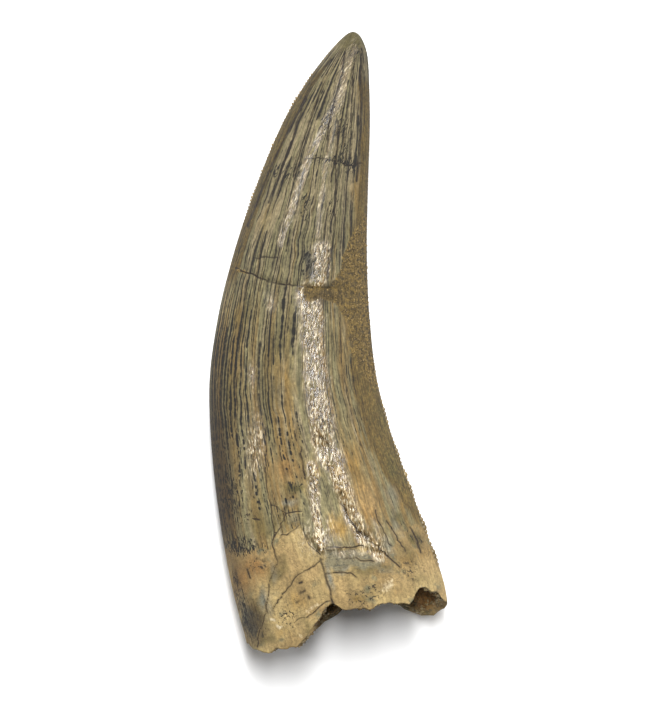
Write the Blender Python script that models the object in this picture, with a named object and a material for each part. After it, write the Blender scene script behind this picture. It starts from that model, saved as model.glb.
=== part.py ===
"""Fossil theropod tooth, lying on its side: one solid with serrated edges and a broken, hollow base.

The tooth lies on its lingual side. X runs across it, from the convex mesial edge (low X) to the concave,
serrated distal edge (high X). Y runs along it, tip towards +Y. Z is up, out of the face that shows.
Depth is the distance below the tip, measured along the tooth. Sizes are in millimetres until the mesh
is made, which is in metres.
"""
import math

import bmesh
import bpy
import numpy as np

MILLIMETRE = 0.001

# Whole tooth
TOOTH_LENGTH = 58.0
TIP_X = 2.3
DENTICLE_PITCH = 0.42

# Outline and side view, at these depths below the tip
STATION_DEPTH = (0.0, 0.6, 2.2, 5.0, 9.0, 15.0, 21.0, 27.0, 33.0, 37.5, 42.0, 47.0, 52.0, 58.0)
MESIAL_X = (TIP_X, 1.25, -0.2, -2.25, -4.5, -6.95, -8.95, -10.4, -11.15, -11.05, -10.65, -9.95, -9.0, -7.4)
DISTAL_X = (TIP_X, 3.1, 3.65, 3.82, 3.87, 3.68, 3.58, 3.85, 4.6, 5.8, 7.4, 9.2, 10.9, 11.3)
TOP_HEIGHT = (1.75, 2.3, 3.15, 4.2, 5.4, 6.75, 7.8, 8.6, 9.3, 9.75, 10.1, 10.45, 10.6, 10.6)
BELLY_HEIGHT = (1.75, 1.15, 0.85, 0.66, 0.48, 0.26, 0.06, -0.12, -0.22, -0.25, -0.25, -0.22, -0.1, 0.25)

# Shape of a cross-section: where its crest stands across the width, how full its flanks are, and how round
# its two edges are. The young tip has fuller flanks than the rest.
TOP_CREST_DEPTH = (0.0, 20.0, 25.0, 40.0, 58.0)
TOP_CREST_SHARE = (0.5, 0.5, 0.6, 0.66, 0.62)
BELLY_CREST = 0.5
MESIAL_FLANK = 2.1
DISTAL_FLANK = 1.75
YOUNG_FULLNESS = 0.9
YOUNG_FADES = (19.0, 28.0)
EDGE_LEVEL = 0.46
SHARP_EDGE = 0.92
ROUND_EDGE = 0.56
MESIAL_EDGE_ROUNDS = (6.0, 30.0)
DISTAL_EDGE_ROUNDS = (49.0, 55.0)
CARINA_HEIGHT = 0.45
CARINA_LARGEST_SHARE = 0.12

# Mesh density
COLUMNS_ON_A_FACE = 25
CUTS_BETWEEN_RINGS = 3
RING_PITCH = 2.0 * DENTICLE_PITCH
TIP_RING_DEPTHS = (0.06, 0.24, 0.54)

# Fracture across the crown, which the burial closed with sandy matrix: X and depth along it
FRACTURE_LINE = ((-9.0, 22.2), (-7.5, 22.7), (-6.2, 23.3), (-4.8, 23.7), (-2.4, 24.0), (4.0, 24.3))
FRACTURE_DEPTH = 24.0
FRACTURE_REACH = 3.5
FRACTURE_HALF_WIDTH = 0.3
FRACTURE_SINK = 0.2

# Broken base: X and depth along the wall that shows and along the wall beneath it
NEAR_BREAK = (
    (-7.6, 57.1), (-6.4, 57.85), (-5.5, 58.0), (-4.8, 57.5), (-3.0, 57.3), (-2.2, 56.4), (-1.3, 55.2),
    (-0.6, 54.0), (0.3, 53.1), (1.6, 53.7), (3.0, 53.7), (4.5, 53.4), (6.1, 53.1), (7.4, 53.3),
    (7.9, 52.9), (8.2, 52.2), (8.9, 51.8), (9.6, 52.1), (10.3, 52.7), (11.2, 53.0),
)
FAR_BREAK = (
    (-7.6, 57.1), (-6.0, 57.4), (-4.0, 57.3), (-2.0, 56.8), (-0.6, 55.6), (0.5, 54.9), (1.5, 54.0),
    (3.4, 53.5), (5.6, 53.5), (6.4, 53.7), (7.3, 54.2), (8.1, 54.6), (8.9, 54.9), (9.6, 54.6),
    (10.3, 54.4), (10.8, 53.9), (11.2, 53.2),
)
NEAR_BEVEL = 0.5
FAR_BEVEL = 0.9
RIM_ROUGHNESS = 0.16

# Pulp cavity: the share of the section that it takes at the break, how far it lies to the distal side of
# the middle, and where it ends
CAVITY_WIDTH_SHARE = 0.88
CAVITY_HEIGHT_SHARE = 0.72
CAVITY_SHIFT = 0.3
CAVITY_END_DEPTH = 44.0
CAVITY_RINGS = 9
CAVITY_LUMPS = 0.14

# Sandy matrix cemented beside the distal edge: the share of the width where it starts, at these depths
MATRIX_DEPTH = (16.0, 20.0, 23.5, 25.5, 27.0, 28.6, 31.0, 33.5, 38.0)
MATRIX_START = (1.0, 0.86, 0.8, 0.79, 0.84, 0.88, 0.91, 0.93, 1.0)
MATRIX_RISE = 0.12
MATRIX_LUMPS = 0.13
MATRIX_EDGE_SOFTNESS = 0.015

# Relief of the face that shows: the groove beside the crest, the flute left of it, the two low ridges
# that the crest parts into near the base, and the enamel's edge
GROOVE_LINE = ((1.1, 43.9), (1.9, 45.2), (2.9, 46.8), (4.2, 48.0), (5.6, 48.9), (6.6, 49.8))
GROOVE_HALF_WIDTH = 0.8
GROOVE_SINK = 0.3
FLUTE_LINE = ((-0.6, 39.0), (0.0, 43.0), (0.9, 46.5), (2.2, 48.2))
FLUTE_HALF_WIDTH = 1.5
FLUTE_SINK = 0.28
DISTAL_FLUTE_SHARE = 0.87
DISTAL_FLUTE_WIDTH = 0.07
DISTAL_FLUTE_SINK = 0.045
DISTAL_FLUTE_STARTS = (6.0, 14.0)
DISTAL_FLUTE_ENDS = (46.0, 52.0)
LOW_MESIAL_RIDGE = ((-1.5, 40.5), (-1.3, 43.0), (-1.1, 45.5), (-0.7, 48.0))
LOW_MESIAL_RIDGE_HALF_WIDTH = 1.0
LOW_MESIAL_RIDGE_RISE = 0.22
LOW_DISTAL_RIDGE = ((0.4, 40.0), (1.3, 42.6), (2.2, 45.2), (3.3, 47.2), (4.8, 48.6))
LOW_DISTAL_RIDGE_HALF_WIDTH = 0.9
LOW_DISTAL_RIDGE_RISE = 0.15
CERVIX_LINE = ((-7.5, 57.5), (-5.6, 47.0), (-3.2, 43.0), (-2.3, 46.4), (-0.9, 48.4), (3.2, 47.9), (11.5, 50.6))
CERVIX_STEP = 0.22

# Serrations: how far a denticle stands out of the edge, at these depths
DENTICLE_DEPTH = (2.0, 4.0, 16.0, 20.0, 36.0, 41.5, 43.0, 49.0, 50.5)
DISTAL_DENTICLE = (0.0, 0.05, 0.05, 0.025, 0.03, 0.05, 0.13, 0.12, 0.0)
MESIAL_DENTICLE = (0.0, 0.05, 0.04, 0.0, 0.0, 0.0, 0.0, 0.0, 0.0)
EDGE_LUMPS = ((37.3, 0.3, 0.2), (39.2, 0.4, 0.28), (40.5, 0.4, 0.3), (50.1, 0.6, 0.22))
EDGE_NICKS = ((21.4, 0.2, 0.1), (22.9, 0.25, 0.3))

NOISE_SEED = 7
FOSSIL_COLOUR = (0.24, 0.19, 0.11, 1.0)
FOSSIL_ROUGHNESS = 0.5
SMOOTH_UP_TO_DEGREES = 32.0


def smooth_curve(stations, values, at):
    """Read a smooth curve through the stations: a cubic with each slope taken from the neighbours."""
    stations, values, at = np.asarray(stations), np.asarray(values), np.asarray(at)
    slopes = np.gradient(values, stations)
    after = np.clip(np.searchsorted(stations, at, side="right"), 1, len(stations) - 1)
    span = stations[after] - stations[after - 1]
    t = np.clip((at - stations[after - 1]) / span, 0.0, 1.0)
    start, end = values[after - 1], values[after]
    start_slope, end_slope = slopes[after - 1] * span, slopes[after] * span
    cubic = (2.0 * start + start_slope - 2.0 * end + end_slope) * t ** 3
    square = (3.0 * end - 3.0 * start - 2.0 * start_slope - end_slope) * t ** 2
    return cubic + square + start_slope * t + start


def at_depth(values, depth):
    """Read a side-view table at a depth. Stations count by square root, which rounds the tip."""
    depth = np.clip(depth, 0.0, TOOTH_LENGTH)
    return smooth_curve(np.sqrt(STATION_DEPTH), values, np.sqrt(depth))


def along_line(line, x):
    """Depth of a line, given as X and depth pairs, at an X."""
    return np.interp(x, [point[0] for point in line], [point[1] for point in line])


def distance_to_line(x, depth, line):
    """Distance of points on the face from a line of straight runs."""
    best = np.full(np.shape(x), np.inf)
    for (x0, d0), (x1, d1) in zip(line[:-1], line[1:]):
        run_x, run_d = x1 - x0, d1 - d0
        share = ((x - x0) * run_x + (depth - d0) * run_d) / (run_x ** 2 + run_d ** 2)
        share = np.clip(share, 0.0, 1.0)
        best = np.minimum(best, np.hypot(x - x0 - share * run_x, depth - d0 - share * run_d))
    return best


def dip(distance, half_width):
    """1 on a line, falling smoothly to nothing beyond its half width."""
    return np.exp(-((distance / half_width) ** 2))


def gate(value, start, end):
    """0 before start, 1 past end, smooth between."""
    t = np.clip((value - start) / (end - start), 0.0, 1.0)
    return t * t * (3.0 - 2.0 * t)


def edge_exponents(depth):
    """How blunt the mesial and the distal edge are: sharp near the tip, round further down."""
    mesial = SHARP_EDGE + (ROUND_EDGE - SHARP_EDGE) * gate(depth, *MESIAL_EDGE_ROUNDS)
    distal = SHARP_EDGE + (ROUND_EDGE - SHARP_EDGE) * gate(depth, *DISTAL_EDGE_ROUNDS)
    return mesial, distal


def bulge(across, crest, mesial_exponent, distal_exponent, fullness=0.0):
    """Height of a half section, from 0 at both edges to 1 at its crest, flatter on top when fuller."""
    to_mesial = np.clip((crest - across) / crest, 0.0, 1.0)
    to_distal = np.clip((across - crest) / (1.0 - crest), 0.0, 1.0)
    mesial = (1.0 - to_mesial ** (MESIAL_FLANK + fullness)) ** mesial_exponent
    distal = (1.0 - to_distal ** (DISTAL_FLANK + fullness)) ** distal_exponent
    return np.where(across < crest, mesial, distal)


def matrix_share(across, depth):
    """1 on the cemented matrix, 0 on bare enamel."""
    start = np.interp(depth, MATRIX_DEPTH, MATRIX_START)
    return gate(across, start - MATRIX_EDGE_SOFTNESS, start + MATRIX_EDGE_SOFTNESS) * (start < 0.999)


def top_relief(across, x, depth, lump):
    """Height that the visible face's own relief adds, before it fades out towards the two edges."""
    relief = -GROOVE_SINK * dip(distance_to_line(x, depth, GROOVE_LINE), GROOVE_HALF_WIDTH)
    relief = relief - FLUTE_SINK * dip(distance_to_line(x, depth, FLUTE_LINE), FLUTE_HALF_WIDTH)
    to_ridge = distance_to_line(x, depth, LOW_MESIAL_RIDGE)
    relief = relief + LOW_MESIAL_RIDGE_RISE * dip(to_ridge, LOW_MESIAL_RIDGE_HALF_WIDTH)
    to_ridge = distance_to_line(x, depth, LOW_DISTAL_RIDGE)
    relief = relief + LOW_DISTAL_RIDGE_RISE * dip(to_ridge, LOW_DISTAL_RIDGE_HALF_WIDTH)
    fracture = dip(depth - along_line(FRACTURE_LINE, x), FRACTURE_HALF_WIDTH)
    relief = relief - FRACTURE_SINK * fracture * (1.0 - matrix_share(across, depth))
    relief = relief + matrix_share(across, depth) * (MATRIX_RISE + MATRIX_LUMPS * lump)
    below_cervix = gate(depth - along_line(CERVIX_LINE, x), -0.2, 0.2)
    return relief - CERVIX_STEP * below_cervix


def skin(across, depth, upper, lump):
    """Points of the outer skin.

    across is 0 at the mesial edge and 1 at the distal one, upper is true on the face that shows, and
    lump is an even random number from -1 to 1 for each point.
    """
    mesial_x, distal_x = at_depth(MESIAL_X, depth), at_depth(DISTAL_X, depth)
    top, belly = at_depth(TOP_HEIGHT, depth), at_depth(BELLY_HEIGHT, depth)
    x = mesial_x + across * (distal_x - mesial_x)
    edge = np.maximum(belly, 0.0) + EDGE_LEVEL * (top - np.maximum(belly, 0.0))
    mesial_exponent, distal_exponent = edge_exponents(depth)
    crest = np.interp(depth, TOP_CREST_DEPTH, TOP_CREST_SHARE)
    fullness = YOUNG_FULLNESS * (1.0 - gate(depth, *YOUNG_FADES))
    upper_bulge = bulge(across, crest, mesial_exponent, distal_exponent, fullness)
    flute = DISTAL_FLUTE_SINK * dip(across - DISTAL_FLUTE_SHARE, DISTAL_FLUTE_WIDTH)
    upper_bulge = upper_bulge - flute * gate(depth, *DISTAL_FLUTE_STARTS) * (1.0 - gate(depth, *DISTAL_FLUTE_ENDS))
    inward = np.minimum(1.0, 4.0 * np.minimum(across, 1.0 - across))
    relief = top_relief(across, x, depth, lump) * np.maximum(inward, 0.0)
    above = edge + (top - edge) * upper_bulge + relief
    lower_bulge = bulge(across, BELLY_CREST, mesial_exponent, distal_exponent)
    below = np.maximum(edge - (edge - belly) * lower_bulge, 0.0)
    return np.stack([x, TOOTH_LENGTH / 2.0 - depth, np.where(upper, above, below)], axis=-1)


def even_shares(upper):
    """Shares of the width that cut a section near the base into equal lengths of its outline."""
    fine = (1.0 - np.cos(np.linspace(0.0, math.pi, 1200))) / 2.0
    points = skin(fine, np.full_like(fine, 40.0), upper, np.zeros_like(fine))
    run = np.concatenate([[0.0], np.cumsum(np.linalg.norm(np.diff(points, axis=0), axis=1))])
    return np.interp(np.linspace(0.0, run[-1], COLUMNS_ON_A_FACE - 1), run, fine)


def face_columns(depth, upper):
    """Shares of the width of one face's columns at each depth, with one just inside each edge."""
    width = at_depth(DISTAL_X, depth) - at_depth(MESIAL_X, depth)
    margin = np.minimum(CARINA_HEIGHT / np.maximum(width, 0.1), CARINA_LARGEST_SHARE)
    inner = margin[:, None] + (1.0 - 2.0 * margin[:, None]) * even_shares(upper)[None, :]
    zero = np.zeros((len(depth), 1))
    return np.concatenate([zero, inner, zero + 1.0], axis=1)


def loop_columns(depth):
    """Columns of a whole ring: over the top from mesial to distal edge, then back beneath."""
    over = face_columns(depth, True)
    under = face_columns(depth, False)[:, -2:0:-1]
    across = np.concatenate([over, under], axis=1)
    upper = np.arange(across.shape[1]) < over.shape[1]
    return across, np.broadcast_to(upper, across.shape)


def ring_depths():
    """Depths of the rings as they would be on a tooth cut straight across at its full length."""
    rings = list(TIP_RING_DEPTHS)
    count = int(TOOTH_LENGTH / RING_PITCH)
    rings += [RING_PITCH * (step + 1) for step in range(count)]
    near = [FRACTURE_DEPTH + offset for offset in (-FRACTURE_HALF_WIDTH, 0.0, FRACTURE_HALF_WIDTH)]
    rings = [depth for depth in rings if min(abs(depth - extra) for extra in near) > 0.2] + near
    return np.array(sorted(rings))


def break_depth(across, upper):
    """Depth at which each column of a ring meets the broken edge."""
    depth = np.full(across.shape, TOOTH_LENGTH - 3.0)
    for _ in range(12):
        mesial_x, distal_x = at_depth(MESIAL_X, depth), at_depth(DISTAL_X, depth)
        x = mesial_x + across * (distal_x - mesial_x)
        found = np.where(upper, along_line(NEAR_BREAK, x), along_line(FAR_BREAK, x))
        depth = 0.5 * (depth + found)
    return depth


def tooth_rings():
    """All rings of points, from just under the tip, over the broken rim and up to the cavity's end."""
    noise = np.random.default_rng(NOISE_SEED)
    nominal = ring_depths()
    share = nominal / nominal[-1]
    across, upper = loop_columns(nominal)
    end = break_depth(across[-1], upper[-1])
    depth = share[:, None] * end[None, :]
    straight = share[:, None] * np.full_like(end, TOOTH_LENGTH)[None, :]
    depth = straight + (depth - straight) * gate(share, 0.25, 1.0)[:, None]
    x = skin(across, depth, upper, np.zeros_like(across))[..., 0]
    shift = along_line(FRACTURE_LINE, x) - FRACTURE_DEPTH
    depth = depth + shift * dip(nominal - FRACTURE_DEPTH, FRACTURE_REACH)[:, None]
    rings = list(skin(across, depth, upper, noise.uniform(-1.0, 1.0, across.shape)))

    rim_across, rim_upper = across[-1], upper[-1]
    bevel = np.where(rim_upper, NEAR_BEVEL, FAR_BEVEL)
    edges = np.minimum(rim_across, 1.0 - rim_across)
    bevel = bevel * gate(edges, 0.0, 0.1) + 0.4 * (1.0 - gate(edges, 0.0, 0.1))
    for step in range(CAVITY_RINGS + 1):
        inward = step / CAVITY_RINGS
        wall = (0.5, 1.0)[min(step, 1)]
        start = end - bevel * wall
        into = gate(inward, 1.0 / CAVITY_RINGS, 1.0) if step else 0.0
        ring_depth = start + (CAVITY_END_DEPTH - start) * into * 0.97
        roughness = RIM_ROUGHNESS if step < 2 else CAVITY_LUMPS
        ring_depth = ring_depth + roughness * noise.uniform(-1.0, 1.0, len(end))
        outer = skin(rim_across, ring_depth, rim_upper, np.zeros_like(end))
        middle = (outer.min(axis=0) + outer.max(axis=0)) / 2.0
        taper = math.sqrt(1.0 - (0.93 * inward) ** 2)
        width_share = 1.0 - (1.0 - CAVITY_WIDTH_SHARE) * wall
        height_share = 1.0 - (1.0 - CAVITY_HEIGHT_SHARE) * wall
        inner = outer.copy()
        inner[:, 0] = middle[0] + (outer[:, 0] - middle[0]) * width_share * taper + CAVITY_SHIFT * wall
        inner[:, 2] = middle[2] + (outer[:, 2] - middle[2]) * height_share * taper
        if step > 1:
            inner += CAVITY_LUMPS * noise.uniform(-1.0, 1.0, inner.shape)
        rings.append(inner)
    return rings


def tip_point():
    """The very tip of the tooth."""
    return np.array([TIP_X, TOOTH_LENGTH / 2.0, TOP_HEIGHT[0]])


def make_tooth_mesh():
    """Join the rings into one closed skin, with the tip and the cavity's end as its two poles."""
    rings = tooth_rings()
    mesh = bmesh.new()
    tip = mesh.verts.new(tip_point())
    loops = [[mesh.verts.new(point) for point in ring] for ring in rings]
    end = mesh.verts.new(np.mean(rings[-1], axis=0) + np.array([0.0, 0.25, 0.0]))
    count = len(loops[0])
    for column in range(count):
        after = (column + 1) % count
        mesh.faces.new((tip, loops[0][column], loops[0][after]))
        for upper_ring, lower_ring in zip(loops[:-1], loops[1:]):
            corners = (upper_ring[column], lower_ring[column], lower_ring[after], upper_ring[after])
            mesh.faces.new(corners)
        mesh.faces.new((end, loops[-1][after], loops[-1][column]))
    skin_rings = len(ring_depths())
    distal = [ring[COLUMNS_ON_A_FACE] for ring in loops[:skin_rings]]
    mesial = [ring[0] for ring in loops[:skin_rings]]
    return mesh, mesial, distal


def cut_edge_line(mesh, verts):
    """Cut the edges along a carina, and give all of its vertices in order from the tip."""
    line = [verts[0]]
    for start, stop in zip(verts[:-1], verts[1:]):
        cuts = CUTS_BETWEEN_RINGS if (start.co - stop.co).length > RING_PITCH * 0.6 else 0
        for cut in range(cuts):
            edge = mesh.edges.get((line[-1], stop))
            made = bmesh.utils.edge_split(edge, line[-1], 1.0 / (cuts + 1 - cut))
            line.append(made[1])
        line.append(stop)
    return line


def serrate(line, heights, outward):
    """Move a carina's vertices out and in by turns, and add its lumps and nicks.

    outward is 1 on the distal edge and -1 on the mesial one.
    """
    for place, vert in enumerate(line):
        depth = TOOTH_LENGTH / 2.0 - vert.co.y
        tooth = float(np.interp(depth, DENTICLE_DEPTH, heights))
        move = tooth if place % 2 else -tooth
        if outward > 0:
            for middle, half_width, height in EDGE_LUMPS:
                move += height * float(dip(depth - middle, half_width))
            for middle, half_width, sink in EDGE_NICKS:
                move -= sink * float(dip(depth - middle, half_width))
        vert.co.x += outward * move


def flatten_rest(mesh):
    """Join the flat faces that the tooth lies on into one."""
    flat = [face for face in mesh.faces if max(vert.co.z for vert in face.verts) < 1e-6]
    bmesh.ops.dissolve_faces(mesh, faces=flat)


def centre_on_its_box(mesh):
    """Put the origin under the middle of the tooth's box, on the surface that it lies on."""
    places = np.array([vert.co[:] for vert in mesh.verts])
    low, high = places.min(axis=0), places.max(axis=0)
    middle = (low + high) / 2.0
    bmesh.ops.translate(mesh, verts=mesh.verts, vec=(-middle[0], -middle[1], -low[2]))
    bmesh.ops.scale(mesh, verts=mesh.verts, vec=(MILLIMETRE, MILLIMETRE, MILLIMETRE))


def make_material():
    """Fossil enamel and dentine: a dull brown stone with a slight polish."""
    material = bpy.data.materials.new("fossil_enamel")
    material.use_nodes = True
    shader = material.node_tree.nodes["Principled BSDF"]
    shader.inputs["Base Color"].default_value = FOSSIL_COLOUR
    shader.inputs["Roughness"].default_value = FOSSIL_ROUGHNESS
    shader.inputs["Metallic"].default_value = 0.0
    return material


def build_tooth():
    """Make the tooth's object."""
    mesh, mesial, distal = make_tooth_mesh()
    mesial_line = cut_edge_line(mesh, mesial[:int(20.0 / RING_PITCH)])
    distal_line = cut_edge_line(mesh, distal)
    serrate(mesial_line, MESIAL_DENTICLE, -1.0)
    serrate(distal_line, DISTAL_DENTICLE, 1.0)
    flatten_rest(mesh)
    bmesh.ops.triangulate(mesh, faces=mesh.faces)
    bmesh.ops.recalc_face_normals(mesh, faces=mesh.faces)
    centre_on_its_box(mesh)
    data = bpy.data.meshes.new("tooth")
    mesh.to_mesh(data)
    mesh.free()
    data.materials.append(make_material())
    data.shade_smooth()
    data.set_sharp_from_angle(angle=math.radians(SMOOTH_UP_TO_DEGREES))
    tooth = bpy.data.objects.new("tooth", data)
    bpy.context.collection.objects.link(tooth)
    return tooth


def main():
    for leftover in list(bpy.data.objects):
        bpy.data.objects.remove(leftover, do_unlink=True)
    build_tooth()


main()
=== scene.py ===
"""Looks of a fossil theropod tooth that lies on its side: enamel, broken base, matrix and serrations.

The tooth's own frame is used all through: X runs across it, from the convex mesial edge (low X) to the
concave serrated distal edge (high X), Y runs along it with the tip towards +Y, and Z is up. Depth is the
distance below the tip. Across is the share of the width, 0 at the mesial edge and 1 at the distal edge.
Sizes are in millimetres until a mesh is made, which is in metres.
"""
from __future__ import annotations

import logging
import math
from dataclasses import dataclass, field
from enum import Enum

import bpy
import numpy as np
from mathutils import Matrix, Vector


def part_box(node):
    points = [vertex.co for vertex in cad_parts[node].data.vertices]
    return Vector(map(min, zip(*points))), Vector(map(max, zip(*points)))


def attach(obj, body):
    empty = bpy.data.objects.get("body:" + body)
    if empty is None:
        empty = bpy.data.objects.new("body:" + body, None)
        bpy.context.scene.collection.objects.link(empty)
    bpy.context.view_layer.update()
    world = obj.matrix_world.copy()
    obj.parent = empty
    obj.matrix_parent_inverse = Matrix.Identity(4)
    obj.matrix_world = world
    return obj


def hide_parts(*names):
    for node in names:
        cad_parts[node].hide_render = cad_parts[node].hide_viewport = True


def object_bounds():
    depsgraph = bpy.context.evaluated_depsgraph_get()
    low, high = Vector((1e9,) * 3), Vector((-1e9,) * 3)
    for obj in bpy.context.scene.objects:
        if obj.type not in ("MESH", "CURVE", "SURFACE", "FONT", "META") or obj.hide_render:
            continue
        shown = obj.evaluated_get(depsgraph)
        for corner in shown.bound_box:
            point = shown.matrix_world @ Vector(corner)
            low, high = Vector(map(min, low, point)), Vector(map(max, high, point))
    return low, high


LOG = logging.getLogger("fossil_tooth")
MILLIMETRE = 0.001
# the way round a face of the tooth, for one of its width
FACE_TO_WIDTH = 1.18
Array = np.ndarray
Line = tuple[tuple[float, float], ...]
Socket = bpy.types.NodeSocket
Tree = bpy.types.NodeTree
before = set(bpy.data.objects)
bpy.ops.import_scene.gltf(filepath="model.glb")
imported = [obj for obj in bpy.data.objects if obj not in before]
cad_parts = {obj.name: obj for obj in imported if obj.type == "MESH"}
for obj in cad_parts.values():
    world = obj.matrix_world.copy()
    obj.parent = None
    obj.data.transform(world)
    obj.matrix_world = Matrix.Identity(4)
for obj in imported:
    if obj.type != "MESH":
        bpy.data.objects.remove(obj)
CAD_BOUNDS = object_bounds()


# Small mathematics

def gate(value: Array, start: float | Array, end: float | Array) -> Array:
    """0 before start, 1 past end, smooth between."""
    t = np.clip((value - start) / (end - start), 0.0, 1.0)
    return t * t * (3.0 - 2.0 * t)


def dip(distance: Array, half_width: float | Array) -> Array:
    """1 on a line, falling smoothly to nothing beyond its half width."""
    return np.exp(-((distance / half_width) ** 2))


def smooth_curve(stations: Array, values: Array, at: Array) -> Array:
    """Read a smooth curve through stations.

    Args:
        stations: Places of the known values, rising.
        values: The known values.
        at: Places to read.

    Returns:
        A cubic between the stations, each slope taken from the neighbours.
    """
    slopes = np.gradient(values, stations)
    after = np.clip(np.searchsorted(stations, at, side="right"), 1, len(stations) - 1)
    span = stations[after] - stations[after - 1]
    t = np.clip((at - stations[after - 1]) / span, 0.0, 1.0)
    start, end = values[after - 1], values[after]
    start_slope, end_slope = slopes[after - 1] * span, slopes[after] * span
    cubic = (2.0 * start + start_slope - 2.0 * end + end_slope) * t ** 3
    square = (3.0 * end - 3.0 * start - 2.0 * start_slope - end_slope) * t ** 2
    return cubic + square + start_slope * t + start


def along_line(line: Line, x: Array) -> Array:
    """Depth of a line, given as X and depth pairs, at an X."""
    return np.interp(x, [point[0] for point in line], [point[1] for point in line])


def nearest_on_line(x: Array, depth: Array, line: Line) -> tuple[Array, Array, Array]:
    """Find the nearest points on a line of straight runs.

    Args:
        x: X of the places to start from.
        depth: Depth of the places to start from.
        line: The line's X and depth pairs.

    Returns:
        The distance to the line, and X and depth of the nearest point on it.
    """
    best = np.full(np.shape(x), np.inf)
    near_x, near_depth = np.array(x, float), np.array(depth, float)
    for (x0, d0), (x1, d1) in zip(line[:-1], line[1:]):
        run_x, run_d = x1 - x0, d1 - d0
        share = np.clip(((x - x0) * run_x + (depth - d0) * run_d) / (run_x ** 2 + run_d ** 2), 0.0, 1.0)
        on_x, on_depth = x0 + share * run_x, d0 + share * run_d
        distance = np.hypot(x - on_x, depth - on_depth)
        closer = distance < best
        best = np.where(closer, distance, best)
        near_x, near_depth = np.where(closer, on_x, near_x), np.where(closer, on_depth, near_depth)
    return best, near_x, near_depth


def cell_noise(x: Array, y: Array, seed: int) -> Array:
    """Make a smooth random surface with one bump for each unit of x and y.

    Args:
        x: First coordinate.
        y: Second coordinate.
        seed: Fixed seed.

    Returns:
        Heights from -1 to 1.
    """
    grid = np.random.default_rng(seed).uniform(-1.0, 1.0, (97, 89))
    column, row = np.floor(x).astype(int), np.floor(y).astype(int)
    fx, fy = gate(x - column, 0.0, 1.0), gate(y - row, 0.0, 1.0)
    near = grid[column % 97, row % 89] * (1.0 - fy) + grid[column % 97, (row + 1) % 89] * fy
    far = grid[(column + 1) % 97, row % 89] * (1.0 - fy) + grid[(column + 1) % 97, (row + 1) % 89] * fy
    return near * (1.0 - fx) + far * fx


def rough_noise(x: Array, y: Array, seed: int, layers: int = 3) -> Array:
    """Add layers of cell noise, each half as large and half as strong as the one before.

    Args:
        x: First coordinate.
        y: Second coordinate.
        seed: Seed of the first layer.
        layers: Number of layers.

    Returns:
        Heights, about from -2 to 2.
    """
    total = np.zeros(np.broadcast(x, y).shape)
    for layer in range(layers):
        scale = 2.0 ** layer
        total += cell_noise(x * scale + 11.3 * layer, y * scale + 5.7 * layer, seed + layer) / scale
    return total


# Form

@dataclass(frozen=True)
class Fold:
    """A low ridge or groove on the face that shows: its line, its half width and how far it rises."""

    line: Line
    half_width: float
    rise: float


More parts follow.
